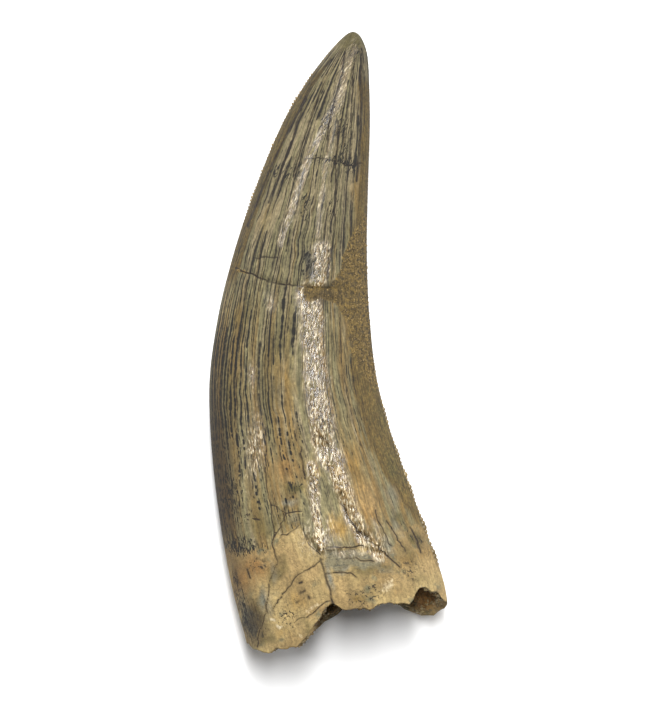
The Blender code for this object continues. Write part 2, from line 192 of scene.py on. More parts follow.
@dataclass
class ToothForm:
    """Shape of the tooth, worked out from its outline, its side view and its cross-section."""

    length: float = 58.0
    tip_x: float = 2.3
    station_depth: tuple[float, ...] = (
        0.0, 0.6, 2.2, 5.0, 9.0, 15.0, 21.0, 27.0, 33.0, 37.5, 42.0, 47.0, 52.0, 58.0)
    mesial_x: tuple[float, ...] = (
        2.3, 1.25, -0.2, -2.25, -4.5, -6.95, -8.95, -10.4, -11.15, -11.05, -10.65, -9.95, -9.0, -7.4)
    distal_x: tuple[float, ...] = (
        2.3, 3.1, 3.65, 3.82, 3.87, 3.68, 3.58, 3.85, 4.6, 5.8, 7.4, 9.2, 10.9, 11.3)
    top_height: tuple[float, ...] = (
        1.75, 2.3, 3.15, 4.2, 5.4, 6.75, 7.8, 8.6, 9.3, 9.75, 10.1, 10.45, 10.6, 10.6)
    belly_height: tuple[float, ...] = (
        1.75, 1.15, 0.85, 0.66, 0.48, 0.26, 0.06, -0.12, -0.22, -0.25, -0.25, -0.22, -0.1, 0.25)
    crest_depth: tuple[float, ...] = (0.0, 20.0, 25.0, 40.0, 58.0)
    crest_share: tuple[float, ...] = (0.5, 0.5, 0.6, 0.66, 0.62)
    belly_crest: float = 0.5
    edge_level: float = 0.46
    sharp_edge: float = 0.92
    round_edge: float = 0.56
    mesial_flank: float = 2.1
    distal_flank: float = 1.75
    low_mesial_ridge: Line = ((-1.5, 40.5), (-1.3, 43.0), (-1.1, 45.5), (-0.7, 48.0))
    low_distal_ridge: Line = ((0.4, 40.0), (1.3, 42.6), (2.2, 45.2), (3.3, 47.2), (4.8, 48.6))
    young_fullness: float = 0.9
    mesial_ridge: Line = (
        (2.3, 1.5), (0.4, 7.3), (-1.2, 10.6), (-2.2, 12.7), (-3.0, 15.3), (-3.6, 17.2), (-4.5, 20.0),
        (-4.8, 22.5))
    middle_ridge: Line = (
        (1.4, 5.0), (0.7, 8.4), (0.4, 10.0), (-0.3, 12.9), (-0.4, 14.8), (-1.0, 19.2), (-0.8, 23.5))
    near_break: Line = (
        (-7.6, 57.1), (-6.4, 57.85), (-5.5, 58.0), (-4.8, 57.5), (-3.0, 57.3), (-2.2, 56.4), (-1.3, 55.2),
        (-0.6, 54.0), (0.3, 53.1), (1.6, 53.7), (3.0, 53.7), (4.5, 53.4), (6.1, 53.1), (7.4, 53.3),
        (7.9, 52.9), (8.1, 52.3), (8.5, 51.95), (9.0, 51.9), (9.6, 52.05), (10.2, 52.45), (10.7, 53.0),
        (11.2, 53.2))
    far_break: Line = (
        (-7.6, 57.1), (-6.0, 57.4), (-4.0, 57.3), (-2.0, 56.8), (-0.6, 55.6), (0.5, 54.9), (1.5, 54.0),
        (3.4, 53.5), (4.5, 53.5), (5.6, 53.5), (6.4, 53.7), (7.3, 54.2), (8.1, 54.6), (8.9, 54.9),
        (9.6, 54.6), (10.3, 54.4), (10.8, 53.9), (11.2, 53.2))
    matrix_depth: tuple[float, ...] = (16.0, 20.0, 23.5, 25.5, 27.0, 28.6, 31.0, 33.5, 38.0)
    matrix_start: tuple[float, ...] = (1.0, 0.86, 0.8, 0.79, 0.84, 0.88, 0.91, 0.93, 1.0)
    fracture: Line = ((-9.0, 22.2), (-7.5, 22.7), (-6.2, 23.3), (-4.8, 23.7), (-2.4, 24.0), (4.0, 24.3))
    groove: Line = ((1.1, 43.9), (1.9, 45.2), (2.9, 46.8), (4.2, 48.0), (5.6, 48.9), (6.6, 49.8))
    flute: Line = ((-0.6, 39.0), (0.0, 43.0), (0.9, 46.5), (2.2, 48.2))
    cervix: Line = (
        (-7.5, 57.5), (-5.6, 47.0), (-3.2, 43.0), (-2.3, 46.4), (-0.9, 48.4), (3.2, 47.9), (11.5, 50.6))
    folds: tuple[Fold, ...] = (
        Fold(groove, 0.8, -0.3), Fold(flute, 1.5, -0.28), Fold(mesial_ridge, 0.6, 0.1),
        Fold(middle_ridge, 0.6, 0.1), Fold(low_mesial_ridge, 1.0, 0.22), Fold(low_distal_ridge, 0.9, 0.15))
    mesial_edge_rounds: tuple[float, float] = (6.0, 30.0)
    distal_edge_rounds: tuple[float, float] = (49.0, 55.0)
    young_fades: tuple[float, float] = (19.0, 28.0)
    distal_flute_share: float = 0.87
    distal_flute_width: float = 0.07
    distal_flute_sink: float = 0.045
    distal_flute_starts: tuple[float, float] = (6.0, 14.0)
    distal_flute_ends: tuple[float, float] = (46.0, 52.0)
    fracture_half_width: float = 0.3
    fracture_sink: float = 0.2
    matrix_rise: float = 0.05
    enamel_step: float = 0.22

    def at_depth(self, values: tuple[float, ...], depth: Array) -> Array:
        """Read a side-view table at a depth; stations count by square root, which rounds the tip."""
        depth = np.clip(depth, 0.0, self.length)
        return smooth_curve(np.sqrt(self.station_depth), np.asarray(values), np.sqrt(depth))

    def edges(self, depth: Array) -> tuple[Array, Array]:
        """X of the mesial and of the distal edge at a depth."""
        return self.at_depth(self.mesial_x, depth), self.at_depth(self.distal_x, depth)

    def bulge(self, across: Array, depth: Array, crest: Array | float,
              fullness: Array | float = 0.0) -> Array:
        """Work out the height of a half section, flatter on top when fuller.

        Args:
            across: Share of the width.
            depth: Depth below the tip.
            crest: Share of the width at which the section is highest.
            fullness: How much flatter the top is.

        Returns:
            Heights from 0 at both edges to 1 at the crest.
        """
        rounding = self.round_edge - self.sharp_edge
        mesial_end = self.sharp_edge + rounding * gate(depth, *self.mesial_edge_rounds)
        distal_end = self.sharp_edge + rounding * gate(depth, *self.distal_edge_rounds)
        to_mesial = np.clip((crest - across) / crest, 0.0, 1.0)
        to_distal = np.clip((across - crest) / (1.0 - crest), 0.0, 1.0)
        mesial = (1.0 - to_mesial ** (self.mesial_flank + fullness)) ** mesial_end
        distal = (1.0 - to_distal ** (self.distal_flank + fullness)) ** distal_end
        return np.where(across < crest, mesial, distal)

    def matrix_share(self, across: Array, depth: Array) -> Array:
        """Find the cemented matrix beside the distal edge, with a ragged edge.

        Args:
            across: Share of the width.
            depth: Depth below the tip.

        Returns:
            1 on the matrix, 0 on bare enamel.
        """
        start = np.interp(depth, self.matrix_depth, self.matrix_start)
        start = start + 0.035 * rough_noise(across * 9.0, depth / 1.3, 101, 4)
        softness = 0.03 + 0.04 * gate(depth, 25.0, 28.0)
        return gate(across, start - softness, start + softness) * gate(depth, 16.0, 18.0)

    def broad_relief(self, across: Array, x: Array, depth: Array) -> Array:
        """Work out the low forms of the face that shows: folds, fracture and end of the enamel.

        Args:
            across: Share of the width.
            x: X of the points.
            depth: Depth below the tip.

        Returns:
            Relief in millimetres.
        """
        relief = np.zeros_like(x)
        for fold in self.folds:
            relief = relief + fold.rise * dip(nearest_on_line(x, depth, fold.line)[0], fold.half_width)
        matrix = self.matrix_share(across, depth)
        in_fracture = dip(depth - along_line(self.fracture, x), self.fracture_half_width)
        relief = relief - self.fracture_sink * in_fracture * (1.0 - matrix)
        below_enamel = gate(depth - along_line(self.cervix, x), -0.2, 0.2)
        return relief + self.matrix_rise * matrix - self.enamel_step * below_enamel

    def skin(self, across: Array, depth: Array, upper: Array, fine: Array | float = 0.0) -> Array:
        """Work out points of the outer skin.

        Args:
            across: Share of the width.
            depth: Depth below the tip.
            upper: True on the face that shows.
            fine: Fine relief to add outwards.

        Returns:
            Points, with X, Y and Z last.
        """
        mesial_x, distal_x = self.edges(depth)
        top, belly = self.at_depth(self.top_height, depth), self.at_depth(self.belly_height, depth)
        x = mesial_x + across * (distal_x - mesial_x)
        edge = np.maximum(belly, 0.0) + self.edge_level * (top - np.maximum(belly, 0.0))
        fullness = self.young_fullness * (1.0 - gate(depth, *self.young_fades))
        crest = np.interp(depth, self.crest_depth, self.crest_share)
        upper_bulge = self.bulge(across, depth, crest, fullness)
        flute = self.distal_flute_sink * dip(across - self.distal_flute_share, self.distal_flute_width)
        flute = flute * gate(depth, *self.distal_flute_starts) * (1.0 - gate(depth, *self.distal_flute_ends))
        inward = np.clip(4.0 * np.minimum(across, 1.0 - across), 0.0, 1.0)
        relief = (self.broad_relief(across, x, depth) + fine) * inward
        above = edge + (top - edge) * (upper_bulge - flute) + relief
        lower_bulge = self.bulge(across, depth, self.belly_crest)
        below = np.maximum(edge - (edge - belly) * lower_bulge - fine * inward, 0.0)
        return np.stack([x, self.length / 2.0 - depth, np.where(upper, above, below)], axis=-1)

    def even_shares(self, upper: bool, count: int) -> Array:
        """Cut a section near the base into equal lengths of its outline.

        Args:
            upper: True for the face that shows.
            count: Number of cuts.

        Returns:
            Share of the width of each cut.
        """
        fine = (1.0 - np.cos(np.linspace(0.0, math.pi, 2400))) / 2.0
        points = self.skin(fine, np.full_like(fine, 40.0), np.full_like(fine, upper))
        run = np.concatenate([[0.0], np.cumsum(np.linalg.norm(np.diff(points, axis=0), axis=1))])
        return np.interp(np.linspace(0.0, run[-1], count), run, fine)

    def break_depth(self, across: Array, upper: Array) -> Array:
        """Find where each column of points meets the broken edge.

        Args:
            across: Share of the width.
            upper: True on the face that shows.

        Returns:
            Depth of the break in each column.
        """
        depth = np.full(across.shape, self.length - 3.0)
        for _ in range(14):
            mesial_x, distal_x = self.edges(depth)
            x = mesial_x + across * (distal_x - mesial_x)
            found = np.where(upper, along_line(self.near_break, x), along_line(self.far_break, x))
            depth = 0.5 * (depth + found)
        return depth


class Zone(Enum):
    """Kinds of stain, wear and finish that lie in patches on the tooth."""

    GOLD = "gold"
    IRON = "iron"
    CREAM = "cream"
    OLIVE = "olive"
    # umber stain, and painted shade on the mesial flank and in the recess below the fracture
    UMBER_AND_SHADE = "umber_and_shade"
    SLATE = "slate"
    SOOT = "soot"
    CRYSTAL = "crystal"
    POLISH = "polish"
    PITTED = "pitted"
    BARE = "bare"
    WRINKLED = "wrinkled"
    MIST = "mist"


@dataclass(frozen=True)
class Patch:
    """A soft oval of a stain on the face that shows: where it is, how large, how strong and how turned."""

    x: float
    depth: float
    half_width: float
    half_length: float
    strength: float = 1.0
    turn: float = 0.0

    def cover(self, x: Array, depth: Array) -> Array:
        """Work out how strongly the patch covers each place.

        Args:
            x: X of the places.
            depth: Depth of the places.

        Returns:
            Cover, at most the patch's strength.
        """
        turn = math.radians(self.turn)
        dx, dd = x - self.x, depth - self.depth
        side = dx * math.cos(turn) + dd * math.sin(turn)
        run = dd * math.cos(turn) - dx * math.sin(turn)
        return self.strength * np.exp(-((side / self.half_width) ** 2 + (run / self.half_length) ** 2))


PATCHES: dict[Zone, tuple[Patch, ...]] = {
    Zone.GOLD: (
        Patch(2.8, 15.0, 0.9, 2.5, 0.7), Patch(-6.0, 18.0, 1.1, 2.4, 0.45, 22.0),
        Patch(-3.8, 32.5, 0.8, 2.6, 0.6), Patch(3.1, 20.0, 0.7, 3.4, 0.8), Patch(3.3, 8.0, 0.4, 4.0, 0.6),
        Patch(3.7, 32.5, 0.8, 4.0, turn=-8.0), Patch(4.9, 38.0, 0.9, 3.0, turn=-20.0),
        Patch(2.0, 40.0, 1.2, 2.4, 0.7, -15.0), Patch(-8.6, 26.5, 0.8, 1.8, 0.5),
        Patch(-1.6, 41.0, 0.8, 2.4, 0.7), Patch(1.0, 46.2, 1.2, 1.4, turn=-20.0),
        Patch(7.2, 43.6, 0.9, 1.0, 0.7), Patch(-3.0, 53.0, 1.5, 1.3, 0.6), Patch(-4.6, 56.0, 1.0, 0.9, 0.6),
        Patch(3.0, 18.0, 0.8, 2.4, 0.7), Patch(2.7, 52.0, 1.3, 0.5, 0.7), Patch(7.4, 49.4, 0.9, 0.9, 0.5),
        Patch(8.8, 48.9, 1.0, 1.2, 0.5, -20.0),
    ),
    Zone.IRON: (
        Patch(-7.9, 35.2, 1.2, 2.6, 0.4), Patch(-4.0, 41.0, 1.9, 1.9, 0.75),
        Patch(-5.0, 43.4, 0.9, 1.2, 0.5), Patch(3.7, 43.9, 1.5, 2.6, 0.8, -20.0),
        Patch(1.8, 39.6, 1.3, 2.4, 0.4, -15.0), Patch(-6.9, 49.9, 1.7, 1.6),
        Patch(-8.0, 51.4, 1.1, 1.6, 0.9), Patch(-0.3, 53.5, 0.7, 0.7, 0.8),
        Patch(10.3, 52.4, 0.8, 0.7, 0.7, -35.0), Patch(6.3, 52.4, 0.9, 0.5, 0.4),
        Patch(-1.2, 54.0, 1.4, 0.5, 0.45, -28.0),
    ),
    Zone.CREAM: (
        Patch(3.4, 43.4, 1.2, 2.2, 0.6, -20.0), Patch(10.9, 52.6, 0.5, 0.9, turn=-10.0),
        Patch(1.3, 42.4, 0.8, 3.4, 0.6, -25.0), Patch(6.9, 47.0, 0.6, 1.0, 0.6, -25.0),
        Patch(-3.4, 48.9, 1.2, 1.4), Patch(-1.5, 50.6, 1.0, 1.0), Patch(1.2, 52.2, 0.9, 0.5, 0.9),
        Patch(4.8, 47.0, 0.5, 0.9, 0.7, -30.0), Patch(0.9, 51.1, 1.0, 0.7, 0.8),
        Patch(9.2, 50.2, 1.5, 1.4, 0.8, -30.0), Patch(6.2, 51.2, 1.6, 0.8, 0.7, 30.0),
        Patch(-3.2, 54.6, 1.1, 1.0, 0.6),
    ),
    Zone.OLIVE: (
        Patch(-2.2, 6.5, 0.7, 3.5, 0.7, 27.0), Patch(-5.6, 13.8, 0.7, 5.0, 0.7, 22.0),
        Patch(-4.4, 50.0, 0.5, 1.6, 0.6, 25.0), Patch(-2.0, 55.2, 0.5, 1.4, 0.6, -40.0),
        Patch(-5.6, 57.0, 1.2, 0.7, 0.7), Patch(8.2, 51.0, 1.6, 0.5, 0.5, 20.0),
        Patch(-1.0, 24.9, 1.4, 0.7), Patch(2.6, 18.8, 0.9, 2.4, 0.5), Patch(-5.6, 34.5, 1.0, 4.0, 0.6),
        Patch(6.2, 40.6, 0.8, 2.0, turn=-25.0), Patch(5.2, 36.0, 0.6, 2.5, 0.7, -20.0),
        Patch(6.6, 45.2, 0.9, 1.2, 0.8, -20.0), Patch(8.1, 47.2, 0.7, 1.2, 0.9, -20.0),
        Patch(-6.0, 46.2, 1.3, 1.2, 0.6), Patch(-5.2, 50.6, 0.7, 1.2, 0.6), Patch(3.6, 50.0, 1.6, 0.8, 0.7),
        Patch(3.2, 51.9, 1.8, 0.7, 0.55), Patch(-3.2, 42.7, 0.8, 0.5), Patch(-3.8, 45.6, 1.8, 1.0, 0.55),
        Patch(2.2, 0.9, 1.4, 1.4, 0.95), Patch(-8.0, 26.5, 1.4, 2.4, 0.55, 6.0),
        Patch(-6.5, 43.6, 1.0, 2.4, 0.5), Patch(-4.6, 28.6, 1.9, 3.6, 0.5, 4.0),
        Patch(-9.2, 34.0, 1.4, 6.0, 0.6), Patch(7.4, 48.8, 0.5, 1.6, 0.6, -30.0),
        Patch(5.4, 49.9, 1.2, 0.4, 0.6, 30.0), Patch(-6.6, 54.6, 1.0, 2.2, 0.7, -8.0),
    ),
    Zone.UMBER_AND_SHADE: (
        # umber stain; the patch at (-0.5, 24.8) is painted shade in the recess below the fracture
        Patch(-5.4, 33.5, 1.4, 4.0, 0.35), Patch(-0.5, 24.8, 3.0, 1.3, 0.7),
        Patch(-9.2, 42.0, 1.5, 5.0, 0.3), Patch(-7.4, 50.4, 2.0, 2.2, 0.35),
        Patch(-8.8, 47.6, 1.3, 1.6, 0.45), Patch(-8.6, 51.0, 0.6, 2.6, 0.5, -10.0),
        Patch(-6.9, 55.2, 1.0, 2.4, 0.8, -8.0), Patch(-1.0, 53.9, 1.2, 0.4, 0.3, -28.0),
    ),
    Zone.SLATE: (
        Patch(-2.6, 12.4, 1.5, 1.5, 0.5), Patch(1.6, 12.2, 1.5, 0.9, 0.5), Patch(1.0, 8.6, 0.8, 2.6, 0.45),
        Patch(-0.2, 7.0, 0.5, 2.0, 0.6, 20.0), Patch(-1.8, 21.8, 1.2, 1.5, 0.9),
        Patch(-0.5, 17.4, 0.8, 2.4, 0.4), Patch(-2.8, 17.5, 0.6, 2.4, 0.5, 10.0),
        Patch(1.9, 33.0, 0.9, 5.0, 0.35, -6.0), Patch(-0.4, 36.2, 0.8, 1.1, 0.9),
        Patch(-7.8, 54.4, 0.8, 3.0, 0.8, -8.0), Patch(-6.6, 55.8, 0.9, 1.8, 0.6, -8.0),
        Patch(-5.6, 53.4, 0.6, 1.0, 0.6), Patch(5.6, 47.6, 0.5, 1.5, 0.6, -25.0),
    ),
    Zone.SOOT: (
        Patch(7.2, 45.8, 0.4, 1.0, 0.55, -20.0), Patch(-7.7, 54.8, 0.8, 2.6, 0.72, -8.0),
        Patch(-6.4, 56.2, 0.6, 1.2, 0.6, -8.0), Patch(-7.3, 47.9, 1.9, 0.6, 0.85),
        Patch(-8.6, 47.8, 0.9, 0.9, 0.7), Patch(-9.4, 42.8, 0.9, 2.6, 0.7),
        Patch(-8.6, 51.6, 0.6, 2.0, 0.6, -10.0), Patch(-3.0, 42.4, 1.3, 0.6, 0.45),
        Patch(1.5, 12.3, 1.5, 0.9, 0.75), Patch(1.3, 9.4, 0.8, 2.4, 0.65),
        Patch(-0.2, 8.2, 0.6, 2.2, 0.6, 15.0), Patch(-1.2, 12.3, 1.6, 0.6, 0.6),
        Patch(-4.2, 13.1, 1.6, 1.2, 0.62), Patch(-2.0, 16.5, 0.9, 2.4, 0.5, 10.0),
        Patch(-1.6, 22.0, 1.4, 1.8, 0.62), Patch(0.4, 16.5, 0.8, 2.6, 0.4), Patch(2.4, 2.0, 0.8, 1.2, 0.55),
        Patch(8.2, 47.5, 0.45, 1.0, 0.8, -20.0), Patch(-0.5, 36.2, 0.5, 0.8, 0.7),
    ),
    Zone.CRYSTAL: (
        Patch(5.2, 51.6, 1.0, 1.0, 0.4, -20.0), Patch(-5.5, 54.5, 0.4, 0.4), Patch(-4.9, 55.3, 0.45, 0.35),
        Patch(-1.5, 53.9, 1.5, 0.5, 0.6, -28.0), Patch(-2.7, 55.9, 0.4, 0.6, 0.6),
        Patch(5.9, 51.5, 0.6, 0.6, 0.5), Patch(4.9, 50.2, 0.5, 0.5, 0.45),
    ),
    Zone.POLISH: (
        Patch(-0.8, 46.9, 1.5, 1.5), Patch(-7.0, 38.9, 0.75, 2.8, turn=8.0), Patch(-7.0, 32.5, 0.5, 1.3),
        Patch(1.6, 48.4, 2.0, 0.5, 0.6), Patch(5.0, 47.4, 0.6, 1.6, 0.6, -30.0),
        Patch(-5.4, 25.4, 0.5, 0.7, 0.8), Patch(1.1, 4.5, 0.35, 3.0, 0.8, 18.0),
    ),
    Zone.PITTED: (
        Patch(-4.0, 54.4, 1.1, 1.0), Patch(-2.6, 52.6, 1.2, 1.2, 0.35), Patch(3.2, 52.1, 1.9, 0.8),
        Patch(7.6, 50.2, 1.8, 1.2, 0.5), Patch(-7.6, 45.6, 1.2, 0.7, 0.8), Patch(-6.6, 49.6, 1.4, 1.0, 0.6),
    ),
    Zone.BARE: (
        Patch(-3.8, 33.0, 0.9, 3.0), Patch(-1.7, 41.5, 0.8, 3.0), Patch(3.0, 43.0, 2.6, 4.0, turn=-25.0),
        Patch(0.8, 46.6, 1.6, 1.8), Patch(-4.8, 42.0, 1.1, 1.9), Patch(-5.5, 46.2, 2.4, 1.0, 0.9),
        Patch(-7.0, 46.4, 1.6, 1.2, 0.9), Patch(6.8, 46.6, 2.2, 2.4, 0.8, -20.0),
        Patch(3.9, 32.0, 0.7, 6.0, 0.7, -8.0), Patch(-5.6, 17.0, 1.0, 2.0, 0.5, 20.0),
        Patch(2.8, 15.5, 0.8, 2.5),
    ),
    Zone.WRINKLED: (
        Patch(2.6, 49.2, 2.2, 0.9), Patch(1.2, 48.5, 2.2, 0.6), Patch(0.4, 49.6, 1.0, 0.9),
        Patch(5.4, 50.3, 1.4, 0.6, 0.6, 25.0), Patch(-3.2, 45.4, 1.6, 0.9, 0.6),
    ),
    Zone.MIST: (
        Patch(0.9, 49.8, 1.4, 0.5), Patch(0.0, 51.0, 0.4, 1.4, 0.8, -8.0),
        Patch(4.3, 46.2, 0.4, 1.6, 0.6, -25.0), Patch(5.8, 43.4, 0.8, 2.0, 0.5, -25.0),
        Patch(6.6, 46.2, 0.7, 1.4, 0.5, -25.0), Patch(5.9, 47.9, 0.7, 1.2, 0.5, -25.0),
        Patch(-3.6, 44.0, 0.9, 0.6, 0.7), Patch(-4.9, 50.4, 0.5, 1.6, 0.6),
        Patch(-5.8, 52.6, 0.6, 1.2, 0.4), Patch(-6.0, 54.2, 0.8, 1.8, 0.4, -8.0),
    ),
}


# millimetres from one kink of a hairline to the next
KINK_SPACING = 0.33
# distance from any hairline, in its half widths, beyond which nothing is coloured
CLEAR_OF_CRACKS = 9.0


@dataclass(frozen=True)
class Crack:
    """A dark hairline on the face that shows: X and depth along it, its half width and how it kinks."""

    points: Line
    half_width: float = 0.06
    kinks: float = 0.05

    def path(self, seed: int) -> Line:
        """Give the hairline small kinks.

        Args:
            seed: Fixed seed of the kinks.

        Returns:
            X and depth along the kinked line.
        """
        points = np.asarray(self.points)
        run = np.concatenate([[0.0], np.cumsum(np.hypot(*np.diff(points, axis=0).T))])
        at = np.linspace(0.0, run[-1], max(int(run[-1] / KINK_SPACING), 2) + 1)
        x, depth = np.interp(at, run, points[:, 0]), np.interp(at, run, points[:, 1])
        kinks = np.random.default_rng(seed).normal(0.0, self.kinks, (2, len(at)))
        return tuple(zip((x + kinks[0]).tolist(), (depth + kinks[1]).tolist()))


@dataclass(frozen=True)
class GlossBand:
    """A ridge that handling and sand have polished: X and depth along it, how wide and how bright it is."""

    points: Line
    half_width: float
    strength: float = 1.0


GLOSS_BANDS = (
    GlossBand(ToothForm.mesial_ridge[:-1], 0.42, 0.7),
    GlossBand(ToothForm.middle_ridge[:-1], 0.35, 0.45),
    GlossBand(((-0.6, 20.5), (-0.7, 22.4), (-1.0, 23.6)), 0.9),
    GlossBand(((-1.9, 24.8), (-1.6, 26.5), (-1.3, 30.0), (-0.9, 34.0), (-0.5, 38.0), (0.3, 40.0)), 1.3),
    GlossBand(ToothForm.low_distal_ridge, 0.9),
    GlossBand(ToothForm.low_mesial_ridge, 0.6),
)
# where the sandstone below the fracture ends, and where the enamel ends
MATRIX_END: Line = (
    (-2.6, 24.0), (-2.3, 24.8), (-1.7, 25.3), (-0.5, 25.2), (0.9, 25.7), (1.9, 27.2), (2.3, 28.6),
    (3.0, 31.0))
ENAMEL_END: Line = (
    (-10.0, 48.2), (-5.4, 48.3), (-5.2, 47.0), (-4.0, 46.7), (-2.7, 46.0), (-2.2, 46.9), (-1.1, 48.4),
    (0.4, 47.9), (3.2, 47.9), (4.6, 48.7), (5.6, 48.5), (6.8, 46.8), (8.0, 46.0), (10.5, 46.6))
CRACKS = (
    Crack(((-5.8, 36.9), (-5.8, 40.2), (-5.7, 42.8), (-5.5, 43.8), (-5.3, 44.2), (-5.3, 45.2), (-5.1, 45.8),
           (-5.0, 46.9), (-5.3, 47.8), (-5.0, 48.4), (-4.7, 49.4), (-5.3, 50.6), (-5.6, 51.8), (-5.8, 54.0),
           (-6.5, 56.3), (-6.6, 57.3))),
    Crack(((-5.3, 44.1), (-4.8, 44.2), (-4.4, 44.6), (-4.0, 44.9), (-3.5, 44.8), (-2.9, 44.7), (-2.5, 44.7))),
    Crack(((-4.0, 44.9), (-4.1, 45.4), (-4.4, 46.0), (-5.0, 47.0))),
    Crack(((-4.5, 46.9), (-4.0, 46.8), (-3.4, 46.5), (-3.0, 46.3), (-2.7, 46.0))),
    Crack(((-0.8, 49.3), (-1.4, 49.7), (-2.2, 50.2), (-2.9, 50.6), (-3.7, 51.7), (-4.4, 52.5), (-5.1, 53.7))),
    Crack(((-0.7, 49.1), (-0.5, 49.8), (-0.4, 50.5), (-0.1, 51.1), (0.2, 52.4), (0.4, 53.0), (0.4, 53.6)),
          0.1),
    Crack(((-2.6, 38.7), (-2.4, 40.7), (-2.2, 41.6)), 0.1),
    Crack(((-2.4, 44.9), (-2.3, 46.3), (-2.1, 47.3), (-1.7, 47.8), (-1.1, 48.4), (-0.7, 48.7)), 0.05),
    Crack(((-0.6, 48.1), (0.4, 47.9), (1.8, 48.0), (3.2, 47.8)), 0.07),
    Crack(((1.5, 49.1), (2.5, 48.9), (3.2, 49.2), (4.2, 49.2))),
    Crack(((-0.3, 50.5), (0.5, 50.3), (1.5, 50.3), (2.1, 50.4), (2.6, 50.7))),
    Crack(((1.1, 43.9), (1.5, 44.5), (1.8, 45.2), (2.3, 45.9), (2.7, 46.5)), 0.1),
    Crack(((2.7, 46.5), (3.0, 46.8), (3.5, 47.1)), 0.18),
    Crack(((3.5, 47.1), (4.0, 47.6), (4.8, 48.2), (5.6, 48.9), (6.6, 49.8)), 0.07),
    Crack(((4.3, 44.6), (4.7, 45.6), (5.0, 46.4), (5.7, 47.9))),
    Crack(((5.4, 45.6), (6.0, 46.5), (7.1, 48.5))),
    Crack(((7.6, 46.3), (8.2, 47.6), (8.6, 48.6)), 0.08),
    Crack(((-7.0, 45.5), (-6.4, 45.5)), 0.08),
    Crack(((-2.65, 52.2), (-2.2, 52.0)), 0.13, 0.0),
    Crack(((-2.7, 51.3), (-2.45, 51.2)), 0.1, 0.0),
    Crack(((-3.0, 53.1), (-2.75, 52.95)), 0.1, 0.0),
    Crack(((-1.85, 52.5), (-1.75, 52.75)), 0.1, 0.0),
    Crack(((-7.5, 50.1), (-7.3, 50.6), (-7.2, 51.0)), 0.08),
    Crack(((-3.2, 54.9), (-2.6, 54.5), (-2.0, 54.5), (-1.3, 53.9), (-0.6, 53.2), (0.1, 52.9)), 0.04),
    Crack(((-6.8, 21.4), (-5.7, 21.2), (-4.8, 21.3)), 0.08),
    Crack(((-8.7, 22.2), (-7.5, 22.7), (-6.2, 23.3), (-4.8, 23.7), (-3.5, 23.8), (-2.4, 24.0)), 0.09),
    Crack(((-2.1, 12.2), (-0.9, 12.0), (0.4, 12.2), (0.9, 12.4), (1.8, 12.7), (2.6, 12.5), (3.2, 12.4))),
    Crack(((0.2, 2.7), (-1.7, 5.2), (-2.65, 7.35), (-3.8, 9.5), (-5.2, 12.3), (-6.6, 15.8), (-7.6, 18.3)),
          0.14, 0.02),
    Crack(((3.07, 1.7), (2.97, 4.3), (3.07, 6.65), (2.97, 9.0), (2.9, 10.9), (2.6, 14.1)), 0.12, 0.02),
    Crack(((0.9, 8.5), (0.7, 13.4), (0.6, 16.2), (0.5, 19.0), (-0.1, 23.2)), 0.09, 0.03),
    Crack(((-2.1, 6.4), (-3.0, 8.6), (-3.4, 10.5), (-4.4, 13.0), (-5.6, 16.2)), 0.09, 0.03),
    Crack(((-0.5, 5.0), (-1.7, 8.3), (-2.4, 10.6), (-3.3, 13.8)), 0.08, 0.03),
    Crack(((1.5, 1.9), (1.3, 4.0), (0.6, 6.3), (0.0, 9.0), (-0.2, 11.4)), 0.09, 0.03),
    Crack(((2.4, 3.0), (2.2, 6.0), (2.1, 9.0), (2.1, 12.2)), 0.07, 0.03),
)


